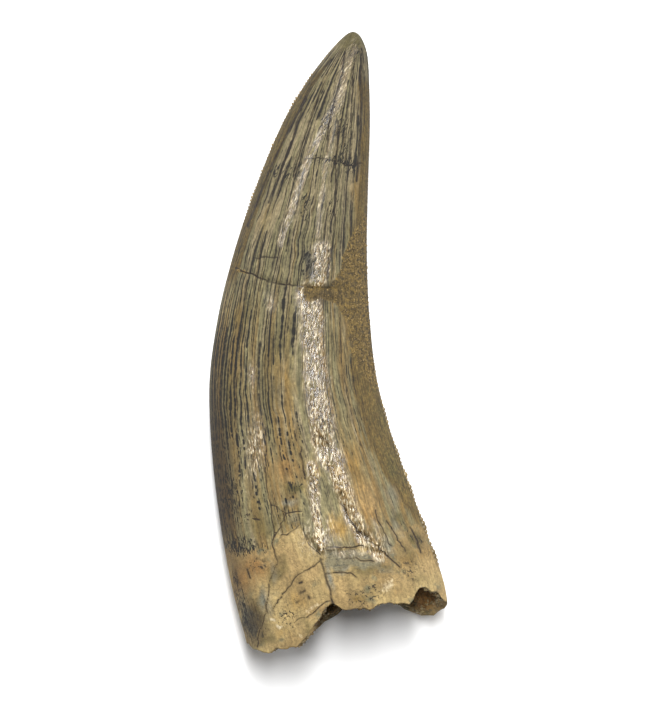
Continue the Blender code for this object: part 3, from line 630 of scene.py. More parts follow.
@dataclass
class Weathering:
    """Where the tooth is worn, stained, cracked and covered: one mask for each, on the points of its skin."""

    form: ToothForm
    streaks_on_a_face: float = 38.0

    def streaks(self, arc: Array, depth: Array, gap: Array) -> Array:
        """Place the lengthwise streaks.

        Args:
            arc: Share of the way round a face, 0 at the mesial edge and 1 at the distal edge.
            depth: Depth below the tip.
            gap: Real distance for one streak.

        Returns:
            For each point the count of streaks passed so far, their real gap and the depth.
        """
        count = self.streaks_on_a_face * arc
        phase = count + 0.7 * cell_noise(count / 3.0, depth / 60.0, 3)
        phase = phase + 0.36 * rough_noise(count / 2.5, depth / 9.0, 5, 2)
        wave = 0.12 + 0.16 * (1.0 - gate(depth, 18.0, 26.0))
        phase = phase + wave * rough_noise(count / 1.5, depth / 1.4, 9, 2)
        return np.stack([phase, gap, depth], axis=-1)

    def stain(self, zone: Zone, x: Array, depth: Array) -> Array:
        """Add up all patches of one zone, with their outlines bent a little.

        Args:
            zone: Kind of stain or finish.
            x: X of the places.
            depth: Depth of the places.

        Returns:
            Cover from 0 to 1.
        """
        warped_x = x + 0.35 * rough_noise(x / 1.3, depth / 2.4, 51, 2)
        warped_depth = depth + 0.5 * rough_noise(x / 1.1, depth / 1.8, 57, 2)
        clear = np.ones_like(x)
        for patch in PATCHES[zone]:
            clear = clear * (1.0 - patch.cover(warped_x, warped_depth))
        return 1.0 - clear

    def cracks(self, x: Array, depth: Array) -> Array:
        """Measure the distance to the nearest hairline.

        Args:
            x: X of the places.
            depth: Depth of the places.

        Returns:
            Distance counted in the hairline's half widths, never over 9.
        """
        found = np.full(x.shape, CLEAR_OF_CRACKS)
        for seed, crack in enumerate(CRACKS):
            path = np.asarray(crack.path(seed))
            low, high = path.min(axis=0) - 1.0, path.max(axis=0) + 1.0
            near = (x > low[0]) & (x < high[0]) & (depth > low[1]) & (depth < high[1])
            distance = nearest_on_line(x[near], depth[near], crack.path(seed))[0]
            found[near] = np.minimum(found[near], distance / crack.half_width)
        return found

    def matrix_cover(self, across: Array, x: Array, depth: Array) -> Array:
        """Find where sandstone is cemented to the tooth.

        Args:
            across: Share of the width.
            x: X of the places.
            depth: Depth of the places.

        Returns:
            1 on sandstone, with a soft edge.
        """
        beside = self.form.matrix_share(across, depth) * (1.0 - gate(depth, 30.0, 36.0))
        fracture = along_line(self.form.fracture, x)
        begin = fracture - 0.12
        end = along_line(MATRIX_END, x) + 0.3 * rough_noise(x / 1.1, depth / 1.1, 103, 3)
        fill = gate(x, -2.6, -2.0) * gate(depth, begin - 0.1, begin + 0.1)
        fill = fill * (1.0 - gate(depth, end - 0.3, end + 0.3))
        seam = dip(depth - fracture, 0.22) * (0.45 + 0.4 * cell_noise(x / 0.9, x * 0.0, 77))
        return np.maximum(np.maximum(beside, fill), seam)

    def brown_cover(self, across: Array, depth: Array, width: Array) -> Array:
        """Find the brown bands beside both cutting edges.

        Args:
            across: Share of the width.
            depth: Depth below the tip.
            width: Width of the tooth at those depths.

        Returns:
            1 on the bands, with a ragged edge.
        """
        to_distal, to_mesial = (1.0 - across) * width, across * width
        reach = 0.4 + 1.4 * gate(depth, 28.0, 32.0) * (1.0 - gate(depth, 38.0, 46.0))
        reach = reach + 0.35 * rough_noise(across * 30.0, depth / 4.0, 65, 3)
        distal = (1.0 - gate(to_distal, reach, reach + 1.3)) * gate(depth, 3.0, 6.0)
        distal = distal * (1.0 - gate(depth, 44.0, 48.0))
        mesial = (1.0 - gate(to_mesial, 0.85, 1.2)) * gate(depth, 2.0, 5.0) * (1.0 - gate(depth, 21.0, 26.0))
        return np.maximum(distal, mesial)

    def masks(self, across: Array, x: Array, depth: Array, upper: Array, width: Array) -> dict[str, Array]:
        """Work out every mask of the outer skin.

        Args:
            across: Share of the width.
            x: X of the points.
            depth: Depth of the points.
            upper: True on the face that shows.
            width: Width of the tooth at those depths.

        Returns:
            Mask name to values from 0 to 1, except cracks, which is the distance over the half width.
        """
        masks = {zone.value: np.where(upper, self.stain(zone, x, depth), 0.0) for zone in Zone}
        ragged_x = x + 0.15 * rough_noise(x / 0.8, depth / 1.6, 63, 3)
        for band in GLOSS_BANDS:
            distance = nearest_on_line(ragged_x, depth, band.points)[0]
            polish = band.strength * gate(distance, 1.2 * band.half_width, 0.5 * band.half_width)
            masks["polish"] = np.maximum(masks["polish"], np.where(upper, polish, 0.0))
        # the mesial flank is darkened with umber as painted shade where that side turns from the light, over
        # its own dark stain
        flank = gate(across * width, 3.4, 0.6) * gate(depth, 25.0, 30.0) * gate(depth, 55.0, 44.0)
        masks["umber_and_shade"] = np.maximum(masks["umber_and_shade"], (0.5 + 0.35 * gate(depth, 32.0, 40.0)) * flank)
        masks["matrix"] = self.matrix_cover(across, x, depth) * np.where(upper, 1.0, 0.6)
        masks["brown"] = self.brown_cover(across, depth, width)
        end = np.where(upper, along_line(ENAMEL_END, x), 50.0 + 0.5 * cell_noise(x / 1.5, depth / 3.0, 61))
        softness = 0.12 + 0.7 * (1.0 - gate(x, -6.2, -5.3) * (1.0 - gate(x, 3.2, 4.5)))
        masks["dentine"] = gate(depth - end, -softness, softness)
        masks["cracks"] = np.where(upper, self.cracks(x, depth), CLEAR_OF_CRACKS)
        bold = gate(depth, 24.0, 28.0) * (1.0 - gate(x, -3.4, -2.2))
        vigour = 0.85 + 0.35 * (1.0 - gate(depth, 20.0, 24.0)) + 0.4 * bold + 0.45 * flank
        vigour = vigour * (1.0 - 0.6 * masks["polish"]) * (1.0 - masks["bare"])
        vigour = vigour * (1.0 - masks["dentine"]) * (1.0 - masks["matrix"]) * gate(depth, 1.2, 2.0)
        stained = 1.25 * masks["slate"] * gate(depth, 50.0, 52.0) * gate(x, -5.0, -6.0)
        masks["vigour"] = np.maximum(vigour * (1.0 - 0.4 * masks["brown"]), stained)
        masks["hollow"] = np.zeros_like(x)
        return masks


# Meshes and the frame

def put_in_scene(name: str, data: bpy.types.ID) -> bpy.types.Object:
    """Make an object of a mesh, lamp or camera and link it into the scene."""
    thing = bpy.data.objects.new(name, data)
    bpy.context.scene.collection.objects.link(thing)
    return thing


def store(mesh: bpy.types.Mesh, name: str, kind: str, values: Array) -> None:
    """Keep one value or vector for each point of a mesh as an attribute."""
    attribute = mesh.attributes.new(name, kind, "POINT")
    key = "vector" if kind == "FLOAT_VECTOR" else "value"
    attribute.data.foreach_set(key, np.ascontiguousarray(values, dtype=np.float32).reshape(-1))


def read_mask(mesh: bpy.types.Mesh, name: str) -> Array:
    """Read one mask of a mesh: a value for each point."""
    values = np.zeros(len(mesh.vertices))
    mesh.attributes[name].data.foreach_get("value", values)
    return values


def read_places(mesh: bpy.types.Mesh) -> Array:
    """Read where the points of a mesh are, one row for each."""
    places = np.zeros(len(mesh.vertices) * 3)
    mesh.vertices.foreach_get("co", places)
    return places.reshape(-1, 3)


@dataclass
class FrameFit:
    """Moves points from the form's millimetres into the frame, where the tooth's box is."""

    scale: Array
    centre: Array
    target: Array
    lift: float = 0.0

    @classmethod
    def of(cls, points: Array) -> "FrameFit":
        """Work out the move from the form's own extent and the frame's box.

        Args:
            points: Every point of the form, in millimetres.

        Returns:
            The move.
        """
        low, high = (np.array(corner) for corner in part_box("tooth"))
        least, most = points.min(axis=0), points.max(axis=0)
        scale = (high - low) / (most - least)
        scale = np.where(np.abs(scale / MILLIMETRE - 1.0) < 0.02, scale, MILLIMETRE)
        fit = cls(scale, (least + most) / 2.0, (low + high) / 2.0)
        fit.lift = low[2] - fit.place(points)[..., 2].min()
        return fit

    def place(self, points: Array) -> Array:
        """Points in metres, in the frame."""
        return (points - self.centre) * self.scale + self.target + np.array([0.0, 0.0, self.lift])


@dataclass
class ToothBody:
    """The whole tooth as one closed mesh: skin, broken rim and pulp cavity."""

    form: ToothForm = field(default_factory=ToothForm)
    top_columns: int = 150
    belly_columns: int = 50
    rim_steps: int = 9
    cavity_steps: int = 34
    carina: float = 0.3
    round_strip: float = 0.02
    cavity_width: float = 0.88
    cavity_height: float = 0.72
    cavity_shift: float = 0.3
    cavity_end: float = 44.0
    near_bevel: float = 0.5
    far_bevel: float = 0.9
    edge_bevel: float = 0.4
    break_jag: float = 0.14
    rim_lumps: tuple[float, float, float] = (0.17, 0.22, 0.17)
    fracture_depth: float = 24.0
    fracture_reach: float = 3.5
    crack_reach: float = 0.07
    name: str = "tooth_fossil"
    fit: FrameFit | None = None

    def ring_depths(self) -> Array:
        """Place the rings on an unbroken tooth: close at the tip, at the fracture and at the base.

        Returns:
            Depth of each ring.
        """
        runs = ((0.01, 1.2, 0.05), (1.2, 22.0, 0.15), (22.0, 26.5, 0.11), (26.5, 42.0, 0.15),
                (42.0, 58.0, 0.115))
        parts = [np.arange(start, stop - step / 2.0, step) for start, stop, step in runs]
        return np.append(np.concatenate(parts), self.form.length)

    def columns(self, depth: Array) -> tuple[Array, Array, Array]:
        """Place the columns round the tooth, with a narrow strip beside each cutting edge.

        Args:
            depth: Depth of each ring.

        Returns:
            For each point the share of the width, its face, and the share of the way round that face.
        """
        mesial_x, distal_x = self.form.edges(depth)
        width = np.maximum(distal_x - mesial_x, 0.1)
        narrowing = self.round_strip - self.carina
        mesial_strip = self.carina + narrowing * gate(depth, *self.form.mesial_edge_rounds)
        distal_strip = self.carina + narrowing * gate(depth, *self.form.distal_edge_rounds)
        mesial_share = np.minimum(mesial_strip / width, 0.1)[:, None]
        distal_share = np.minimum(distal_strip / width, 0.1)[:, None]
        zero = np.zeros_like(mesial_share)
        faces, arcs = [], []
        for upper, count in ((True, self.top_columns), (False, self.belly_columns)):
            shares = self.form.even_shares(upper, count)
            inner = mesial_share + (1.0 - mesial_share - distal_share) * shares[None, :]
            across = np.concatenate([zero, inner, zero + 1.0], axis=1)
            arc = np.linspace(0.0, 1.0, count + 2)
            faces.append(across if upper else across[:, -2:0:-1])
            arcs.append(arc if upper else arc[-2:0:-1])
        across = np.concatenate(faces, axis=1)
        upper = np.arange(across.shape[1]) < self.top_columns + 2
        shape = across.shape
        return across, np.broadcast_to(upper, shape), np.broadcast_to(np.concatenate(arcs), shape)

    def skin_places(self) -> tuple[Array, Array, Array, Array]:
        """Lay rows of points along the fracture and along the break.

        Returns:
            Share of the width, depth, face and share of the way round of each point.
        """
        form = self.form
        nominal = self.ring_depths()
        share = (nominal / nominal[-1])[:, None]
        across, upper, arc = self.columns(nominal)
        end = form.break_depth(across[-1], upper[-1])
        jag = self.break_jag * rough_noise(arc[-1] * 30.0, arc[-1] * 0.0, 21, 4)
        depth = nominal[:, None] + (share * (end + jag)[None, :] - nominal[:, None]) * gate(share, 0.25, 1.0)
        mesial_x, distal_x = form.edges(depth)
        x = mesial_x + across * (distal_x - mesial_x)
        reach = dip(nominal - self.fracture_depth, self.fracture_reach)[:, None]
        depth = depth + (along_line(form.fracture, x) - self.fracture_depth) * reach
        return across, depth, upper, arc

    def snap_to_cracks(self, across: Array, depth: Array, upper: Array) -> tuple[Array, Array]:
        """Move the points nearest to a crack on to it, so that the crack runs along points.

        Args:
            across: Share of the width.
            depth: Depth below the tip.
            upper: True on the face that shows.

        Returns:
            The new shares of the width and depths.
        """
        for seed, crack in enumerate(CRACKS):
            mesial_x, distal_x = self.form.edges(depth)
            width = distal_x - mesial_x
            x = mesial_x + across * width
            distance, near_x, near_depth = nearest_on_line(x, depth, crack.path(seed))
            move = (distance < self.crack_reach) & upper & (across > 0.01) & (across < 0.99)
            move[-1] = False
            new_mesial, new_distal = self.form.edges(near_depth)
            new_across = (near_x - new_mesial) / (new_distal - new_mesial)
            across, depth = np.where(move, new_across, across), np.where(move, near_depth, depth)
        return across, depth

    def fine_relief(self, masks: dict[str, Array], streak: Array, x: Array, depth: Array) -> Array:
        """Work out the fine relief: wrinkles, streaks, cracks, sand, worn dentine and pits.

        Args:
            masks: Every mask of the skin.
            streak: Count of streaks, their gap and the depth.
            x: X of the places.
            depth: Depth of the places.

        Returns:
            Relief in millimetres.
        """
        phase = streak[..., 0]
        off_line = np.abs(phase - np.round(phase)) * streak[..., 1]
        enamel = (1.0 - masks["dentine"]) * (1.0 - masks["matrix"])
        relief = -0.02 * masks["vigour"] * dip(off_line, 0.13)
        relief = relief + 0.02 * rough_noise(phase / 1.6, depth / 6.0, 33, 2) * enamel
        relief = relief + 0.01 * rough_noise(phase / 0.7, depth / 1.8, 35, 2) * enamel
        relief = relief + 0.05 * rough_noise(x / 1.6, depth / 1.6, 37, 4) * masks["dentine"]
        recess = 0.3 * gate(depth, 23.6, 24.2) * gate(x, 2.6, 1.6) * gate(depth, 29.0, 26.0)
        relief = relief + masks["matrix"] * (0.1 * rough_noise(x / 0.7, depth / 0.7, 41, 3) - recess)
        pits = gate(cell_noise(x / 0.35, depth / 0.35, 43), 0.5, 0.9) * gate(masks["pitted"], 0.3, 0.7)
        return relief - 0.055 * dip(masks["cracks"], 1.2) - 0.06 * pits

    def inner_rings(self, across: Array, end: Array, upper: Array, arc: Array) -> list[Array]:
        """Make the rings of points over the broken rim and up to the pulp cavity's end.

        Args:
            across: Share of the width.
            end: Depth of the break.
            upper: True on the face that shows.
            arc: Share of the way round a face.

        Returns:
            The rings, from the break inwards.
        """
        form = self.form
        edge_share = gate(np.minimum(across, 1.0 - across), 0.0, 0.1)
        bevel = np.where(upper, self.near_bevel, self.far_bevel) * edge_share
        bevel = bevel + self.edge_bevel * (1.0 - edge_share)
        rings = []
        for step in range(1, self.rim_steps + self.cavity_steps + 1):
            wall = min(step / self.rim_steps, 1.0)
            inward = max(step - self.rim_steps, 0) / self.cavity_steps
            depth = end - bevel * wall
            depth = depth + (self.cavity_end - depth) * (inward ** 1.1) * 0.98
            outer = form.skin(across, depth, upper)
            middle = (outer.min(axis=0) + outer.max(axis=0)) / 2.0
            taper = math.sqrt(1.0 - (0.97 * inward) ** 2)
            width_share = (1.0 - (1.0 - self.cavity_width) * wall) * taper
            height_share = (1.0 - (1.0 - self.cavity_height) * wall) * taper
            ring = outer.copy()
            ring[:, 0] = middle[0] + (outer[:, 0] - middle[0]) * width_share + self.cavity_shift * wall
            ring[:, 2] = middle[2] + (outer[:, 2] - middle[2]) * height_share
            lumps = gate(np.array(wall), 0.0, 0.25) * taper
            travel = np.full_like(arc, step * 0.28)
            for axis, count, size, seed in ((1, 22.0, 1.3, 71), (0, 26.0, 1.1, 81), (2, 24.0, 1.2, 91)):
                lump = rough_noise(arc * count, travel / size, seed, 4)
                ring[:, axis] += self.rim_lumps[axis] * lumps * lump
            rings.append(ring)
        return rings

    def way_round(self, across: Array, depth: Array, upper: Array, arc: Array) -> Array:
        """Count the strip beside each cutting edge at its real width in the way round a face.

        Args:
            across: Share of the width.
            depth: Depth below the tip.
            upper: True on the face that shows.
            arc: Share of the way round by columns.

        Returns:
            Share of the way round by length.
        """
        points = self.form.skin(across, depth, upper)
        mesial_x, distal_x = self.form.edges(depth)
        last = self.top_columns + 1
        way = arc.copy()
        for edge, inner, sense in ((0, 1, -1.0), (last, last - 1, 1.0)):
            strip = np.linalg.norm(points[:, edge] - points[:, inner], axis=-1)
            face = FACE_TO_WIDTH * (distal_x - mesial_x)[:, edge]
            way[:, edge] = arc[:, inner] + sense * strip / np.maximum(face, 0.1)
        return way

    def points_and_masks(self) -> tuple[Array, dict[str, Array], Array]:
        """Work out the whole grid of points.

        Returns:
            Points, masks and streak coordinates, ring by ring.
        """
        form = self.form
        across, depth, upper, arc = self.skin_places()
        across, depth = self.snap_to_cracks(across, depth, upper)
        mesial_x, distal_x = form.edges(depth)
        width = distal_x - mesial_x
        x = mesial_x + across * width
        weathering = Weathering(form)
        gap = FACE_TO_WIDTH * width / weathering.streaks_on_a_face
        streak = weathering.streaks(self.way_round(across, depth, upper, arc), depth, gap)
        masks = weathering.masks(across, x, depth, upper, width)
        skin = form.skin(across, depth, upper, self.fine_relief(masks, streak, x, depth))
        inner = self.inner_rings(across[-1], depth[-1], upper[-1], arc[-1])
        points = np.concatenate([skin, np.stack(inner)])
        rows = len(inner)
        steps = np.arange(1, rows + 1)[:, None]
        lobe = gate(x[-1], 6.6, 8.0)[None, :]
        rim = gate(steps, 7.0 * lobe, self.rim_steps // 2 + 8.0 * lobe)
        deep = 0.5 * rim + 0.5 * gate(steps, self.rim_steps + 2, self.rim_steps + 14)
        rusty = (0.3 + 0.6 * gate(steps, 4.0, 9.0)) * gate(x[-1], 8.0, 9.6)[None, :] * gate(steps, 26.0, 12.0)
        for name, values in masks.items():
            inside = {"hollow": deep, "cracks": CLEAR_OF_CRACKS, "iron": rusty, "dentine": 1.0}.get(name, 0.0)
            masks[name] = np.concatenate([values, np.zeros((rows, values.shape[1])) + inside])
        streak = np.concatenate([streak, np.repeat(streak[-1:], rows, axis=0)])
        return points, masks, streak

    def build(self) -> bpy.types.Object:
        """Make the mesh with its masks, and fit it to the frame's box.

        Returns:
            The body.
        """
        points, masks, streak = self.points_and_masks()
        rings, count = points.shape[:2]
        tip = np.array([self.form.tip_x, self.form.length / 2.0, self.form.top_height[0]])
        end = points[-1].mean(axis=0) + np.array([0.0, 0.1, 0.0])
        points = np.concatenate([[tip], points.reshape(-1, 3), [end]])
        self.fit = FrameFit.of(points)
        places = self.fit.place(points)
        index = 1 + np.arange(rings * count).reshape(rings, count)
        after = np.roll(index, -1, axis=1)
        quads = np.stack([index[:-1], index[1:], after[1:], after[:-1]], axis=-1).reshape(-1, 4)
        first = np.stack([np.zeros(count, int), index[0], after[0]], axis=-1)
        last = np.stack([np.full(count, rings * count + 1), after[-1], index[-1]], axis=-1)
        mesh = bpy.data.meshes.new(self.name)
        mesh.from_pydata(places.tolist(), [], quads.tolist() + first.tolist() + last.tolist())
        for name, values in masks.items():
            flat = values.reshape(-1)
            store(mesh, name, "FLOAT", np.concatenate([flat[:1], flat, flat[-1:]]))
        flat = streak.reshape(-1, 3)
        store(mesh, "streak", "FLOAT_VECTOR", np.concatenate([flat[:1], flat, flat[-1:]]))
        mesh.shade_smooth()
        return put_in_scene(self.name, mesh)

    def sandy_skin(self, body: bpy.types.Object) -> bpy.types.Object:
        """Pick the faces of the body where sand grains lie.

        Args:
            body: The finished body.

        Returns:
            Those faces, with their cover.
        """
        matrix, hollow, umber_and_shade = (read_mask(body.data, name) for name in ("matrix", "hollow", "umber_and_shade"))
        on_matrix = gate(matrix, 0.35, 0.75) * (1.0 - umber_and_shade)
        cover = np.maximum(on_matrix, 0.8 * dip(hollow - 0.5, 0.3) * (hollow > 0.1))
        return self.part_of_skin(body, "sandy_skin", cover)

    def crumbling_rim(self, body: bpy.types.Object) -> bpy.types.Object:
        """Pick the faces of the broken rim that stand clear of the ground.

        Args:
            body: The finished body.

        Returns:
            Those faces, with their cover.
        """
        hollow = read_mask(body.data, "hollow")
        rim = np.zeros(len(hollow))
        ring = self.top_columns + self.belly_columns + 2
        first = len(rim) - 1 - ring * (self.rim_steps + self.cavity_steps)
        rim[first + ring:first + ring * (self.rim_steps + 1)] = 1.0
        height = read_places(body.data)[:, 2] / MILLIMETRE
        return self.part_of_skin(body, "crumbling_rim", rim * gate(height, 0.35, 0.6))

    def part_of_skin(self, body: bpy.types.Object, name: str, cover: Array) -> bpy.types.Object:
        """Copy the faces of the body that something covers.

        Args:
            body: The finished body.
            name: Name of the copy.
            cover: How thick it lies on each point of the body.

        Returns:
            The copied faces, with their cover.
        """
        mesh = body.data
        places = read_places(mesh)
        corners = np.array([list(face.vertices) for face in mesh.polygons if len(face.vertices) == 4])
        corners = corners[(cover[corners] > 0.05).any(axis=1)]
        used, fresh = np.unique(corners, return_inverse=True)
        skin = bpy.data.meshes.new(name)
        skin.from_pydata(places[used].tolist(), [], fresh.reshape(-1, 4).tolist())
        store(skin, "cover", "FLOAT", cover[used])
        return put_in_scene(name, skin)


# Finishes

MATHS, RANGE, MIX, NOISE = "ShaderNodeMath", "ShaderNodeMapRange", "ShaderNodeMix", "ShaderNodeTexNoise"
MAPPING, COMBINE, ATTRIBUTE, BUMP = (
    "ShaderNodeMapping", "ShaderNodeCombineXYZ", "ShaderNodeAttribute", "ShaderNodeBump")


def linear(colour: str) -> tuple[float, float, float, float]:
    """Turn an sRGB colour, given as #rrggbb, into Blender's linear one with its opacity."""
    parts = [int(colour[place:place + 2], 16) / 255.0 for place in (1, 3, 5)]
    even = [part / 12.92 if part <= 0.04045 else ((part + 0.055) / 1.055) ** 2.4 for part in parts]
    return even[0], even[1], even[2], 1.0


def add_node(tree: Tree, kind: str, inputs: dict | None = None, output: int | str = 0,
             **settings: object) -> Socket:
    """Add a node.

    Args:
        tree: The node tree it goes into.
        kind: The node's type name.
        inputs: Input name or number to a value, to a hex colour, or to the output that links to it.
        output: Name or number of the output to return.
        settings: The node's own properties.

    Returns:
        One output of the new node.
    """
    node = tree.nodes.new(kind)
    for name, value in settings.items():
        setattr(node, name, value)
    for key, value in (inputs or {}).items():
        if isinstance(value, bpy.types.NodeSocket):
            tree.links.new(value, node.inputs[key])
        else:
            is_colour = isinstance(value, str) and value.startswith("#")
            node.inputs[key].default_value = linear(value) if is_colour else value
    return node.outputs[output]


def start_material(name: str) -> tuple[bpy.types.Material, Tree, bpy.types.Node]:
    """Make a new material, and give it with its nodes and its shader."""
    material = bpy.data.materials.new(name)
    material.use_nodes = True
    return material, material.node_tree, material.node_tree.nodes["Principled BSDF"]


@dataclass(frozen=True)
class Patterns:
    """Node outputs that several layers of the fossil's finish share.

    Phase counts the lengthwise lines passed across the tooth, gap is the millimetres between them, and
    depth and height tell the place. Lengthwise and real are coordinates across and along the tooth, in
    lines and in millimetres. The rest are noises, and shiny is the worn gloss, broken into glints.
    """

    mask: dict[str, Socket]
    place: Socket
    phase: Socket
    gap: Socket
    depth: Socket
    side: Socket
    lengthwise: Socket
    bands: Socket
    shades: Socket
    fibres: Socket
    threads: Socket
    scribbles: Socket
    marks: Socket
    wrinkles: Socket
    peel: Socket
    shiny: Socket
    grains: Socket
    mottle: Socket
    cloud: Socket


def drawn_out(tree: Tree, vector: Socket, across: float, along: float, detail: float, roughness: float = 0.5,
              distortion: float = 0.0, shift: float = 0.0) -> Socket:
    """Make noise that is drawn out along the tooth.

    Args:
        tree: The material's nodes.
        vector: Coordinates across and along the tooth.
        across: Cycles for one unit across.
        along: Cycles for a millimetre along.
        detail: Number of finer layers.
        roughness: Strength of the finer layers.
        distortion: How much the noise bends itself.
        shift: Moves the noise across.

    Returns:
        The noise, from 0 to 1.
    """
    stretched = add_node(tree, MAPPING, {"Vector": vector, "Location": (shift, 0.0, 0.0),
                                         "Scale": (across, along, 1.0)})
    return add_node(tree, NOISE, {"Vector": stretched, "Scale": 1.0, "Detail": detail, "Roughness": roughness,
                                  "Distortion": distortion})


@dataclass(frozen=True)
class FossilFinish:
    """Fossil enamel and dentine.

    Enamel keeps a low waxy polish and dark lengthwise lines of manganese. Bare dentine at the base is
    cream and duller, and the cemented sandstone is rough and granular.
    """

    name: str = "fossil_enamel_and_dentine"
    enamel_grey: str = "#686144"
    enamel_tan: str = "#6b5731"
    enamel_pale: str = "#7c7054"
    enamel_dark: str = "#342a17"
    streak_black: str = "#15120c"
    streak_blue: str = "#1b1711"
    # a paler tone for polished ridges that is partly painted sheen, and the near-white of painted glints
    worn_and_sheen_pale: str = "#745f40"
    painted_glint_white: str = "#b5a98d"
    gold: str = "#7f622b"
    iron: str = "#7b5728"
    olive: str = "#463f1f"
    # umber for stains, and for painted shade on the mesial flank and below the fracture
    umber_and_shade: str = "#362915"
    wrinkle_grey: str = "#665f48"
    mist: str = "#69675a"
    slate: str = "#3c3b32"
    brown: str = "#55441f"
    dentine_cream: str = "#8f7c52"
    dentine_tan: str = "#78643f"
    dentine_grey: str = "#5d5840"
    seep_brown: str = "#5f4f30"
    crack_brown: str = "#1a1007"
    cream: str = "#8d774e"
    crystal: str = "#a89a7c"
    pit: str = "#2f2618"
    sand_dark: str = "#453920"
    sand_light: str = "#6e5a2d"
    rust: str = "#6f5027"
    rim: str = "#7d6238"
    painted_cavity_shade: str = "#1c140c"
    line_half_width: float = 0.075
    hairline_half_width: float = 0.045
    hairlines_for_a_line: float = 1.63

    def lay_over(self, tree: Tree, surface: Socket | str, deposit: Socket | str, cover: Socket | float,
                 breakup: Socket, limits: tuple[float, float]) -> Socket:
        """Lay a stain or deposit over a surface.

        Args:
            tree: The material's nodes.
            surface: Colour so far.
            deposit: Colour of what lies on it.
            cover: How thick the deposit lies, 0 to 1.
            breakup: Noise that makes the deposit's edge ragged.
            limits: Thickness with the noise added at which the deposit starts and is full.

        Returns:
            The new colour.
        """
        thickness = add_node(tree, MATHS, {0: breakup, 1: 0.8, 2: cover}, operation="MULTIPLY_ADD")
        start, full = limits[0] + 0.4, limits[1] + 0.4
        amount = add_node(tree, RANGE, {"Value": thickness, "From Min": start, "From Max": full},
                          interpolation_type="SMOOTHSTEP")
        return add_node(tree, MIX, {0: amount, 6: surface, 7: deposit}, 2, data_type="RGBA")

    def patterns(self, tree: Tree) -> Patterns:
        """Read the body's attributes and make the noises that the layers share.

        Args:
            tree: The material's nodes.

        Returns:
            Their outputs.
        """
        place = add_node(tree, "ShaderNodeTexCoord", output="Object")
        height = add_node(tree, "ShaderNodeSeparateXYZ", {0: place}, "Z")
        streak = add_node(tree, ATTRIBUTE, attribute_name="streak", output="Vector")
        phase, gap, depth = (add_node(tree, "ShaderNodeSeparateXYZ", {0: streak}, axis) for axis in "XYZ")
        mask = {name: add_node(tree, ATTRIBUTE, attribute_name=name, output="Fac") for name in (
            "gold", "iron", "cream", "olive", "umber_and_shade", "slate", "soot", "crystal", "polish", "pitted",
            "brown", "wrinkled", "mist", "dentine", "matrix", "hollow", "cracks")}
        # the height, in metres, gives the two faces patterns of their own
        side = add_node(tree, MATHS, {0: height, 1: 150.0}, operation="MULTIPLY")
        lengthwise = add_node(tree, COMBINE, {0: phase, 1: depth, 2: side})
        distance = add_node(tree, MATHS, {0: phase, 1: gap}, operation="MULTIPLY")
        real = add_node(tree, COMBINE, {0: distance, 1: depth, 2: side})
        # scribbles and glints are 0.2 mm wide and 0.6 to 0.8 mm long, the cells of peel 0.14 by 0.5 mm
        scribbles = drawn_out(tree, real, 6.0, 1.8, 2.5, distortion=1.2)
        glints = drawn_out(tree, real, 5.5, 1.3, 2.0, distortion=0.8, shift=7.0)
        glints = add_node(tree, RANGE, {"Value": glints, "From Min": 0.35, "From Max": 0.47})
        # grains of 0.3 mm, and clouds of 2 mm and 6 mm
        grains = add_node(tree, NOISE, {"Vector": place, "Scale": 3300.0, "Detail": 3.0, "Roughness": 0.7})
        mottle = add_node(tree, NOISE, {"Vector": place, "Scale": 520.0, "Detail": 4.0, "Roughness": 0.6})
        cloud = add_node(tree, NOISE, {"Vector": place, "Scale": 170.0, "Detail": 3.0, "Roughness": 0.55})
        return Patterns(
            mask=mask, place=place, phase=phase, gap=gap, depth=depth, side=side, lengthwise=lengthwise,
            bands=drawn_out(tree, lengthwise, 0.6, 0.05, 2.0, 0.6),
            shades=drawn_out(tree, lengthwise, 1.0, 0.13, 3.0, 0.6),
            fibres=drawn_out(tree, lengthwise, 1.8, 0.45, 3.0, 0.6),
            threads=drawn_out(tree, lengthwise, 3.2, 1.0, 2.0, 0.6),
            scribbles=scribbles,
            marks=add_node(tree, RANGE, {"Value": scribbles, "From Min": 0.38, "From Max": 0.62}),
            wrinkles=drawn_out(tree, real, 1.0, 3.2, 3.0, distortion=0.8),
            peel=drawn_out(tree, real, 7.2, 1.9, 1.5, distortion=0.6),
            shiny=add_node(tree, MATHS, {0: mask["polish"], 1: glints}, operation="MULTIPLY"),
            grains=grains, mottle=mottle, cloud=cloud)

    def ground(self, tree: Tree, look: Patterns) -> Socket:
        """Make the clean tooth: banded enamel, and cream dentine where the enamel has gone.

        Args:
            tree: The material's nodes.
            look: The shared patterns.

        Returns:
            The colour.
        """
        # nearer the tip the enamel is greyer and its grain darker
        young = add_node(tree, RANGE, {"Value": look.depth, "From Min": 26.0, "From Max": 18.0})
        greyer = add_node(tree, MATHS, {0: young, 1: 0.12}, operation="MULTIPLY")
        paler = add_node(tree, MATHS, {0: young, 1: 0.1}, operation="MULTIPLY")
        grainier = add_node(tree, MATHS, {0: young, 1: 0.09, 2: -0.06}, operation="MULTIPLY_ADD")
        enamel = self.lay_over(tree, self.enamel_tan, self.enamel_grey, greyer, look.bands, (-0.12, 0.08))
        enamel = self.lay_over(tree, enamel, self.enamel_pale, paler, look.shades, (0.02, 0.18))
        enamel = self.lay_over(tree, enamel, self.enamel_dark, grainier, look.fibres, (0.04, 0.22))
        bone = self.lay_over(tree, self.dentine_tan, self.dentine_cream, 0.0, look.cloud, (-0.1, 0.08))
        bone = self.lay_over(tree, bone, self.dentine_grey, 0.0, look.mottle, (0.04, 0.14))
        return self.lay_over(tree, enamel, bone, look.mask["dentine"], look.mottle, (0.35, 0.65))

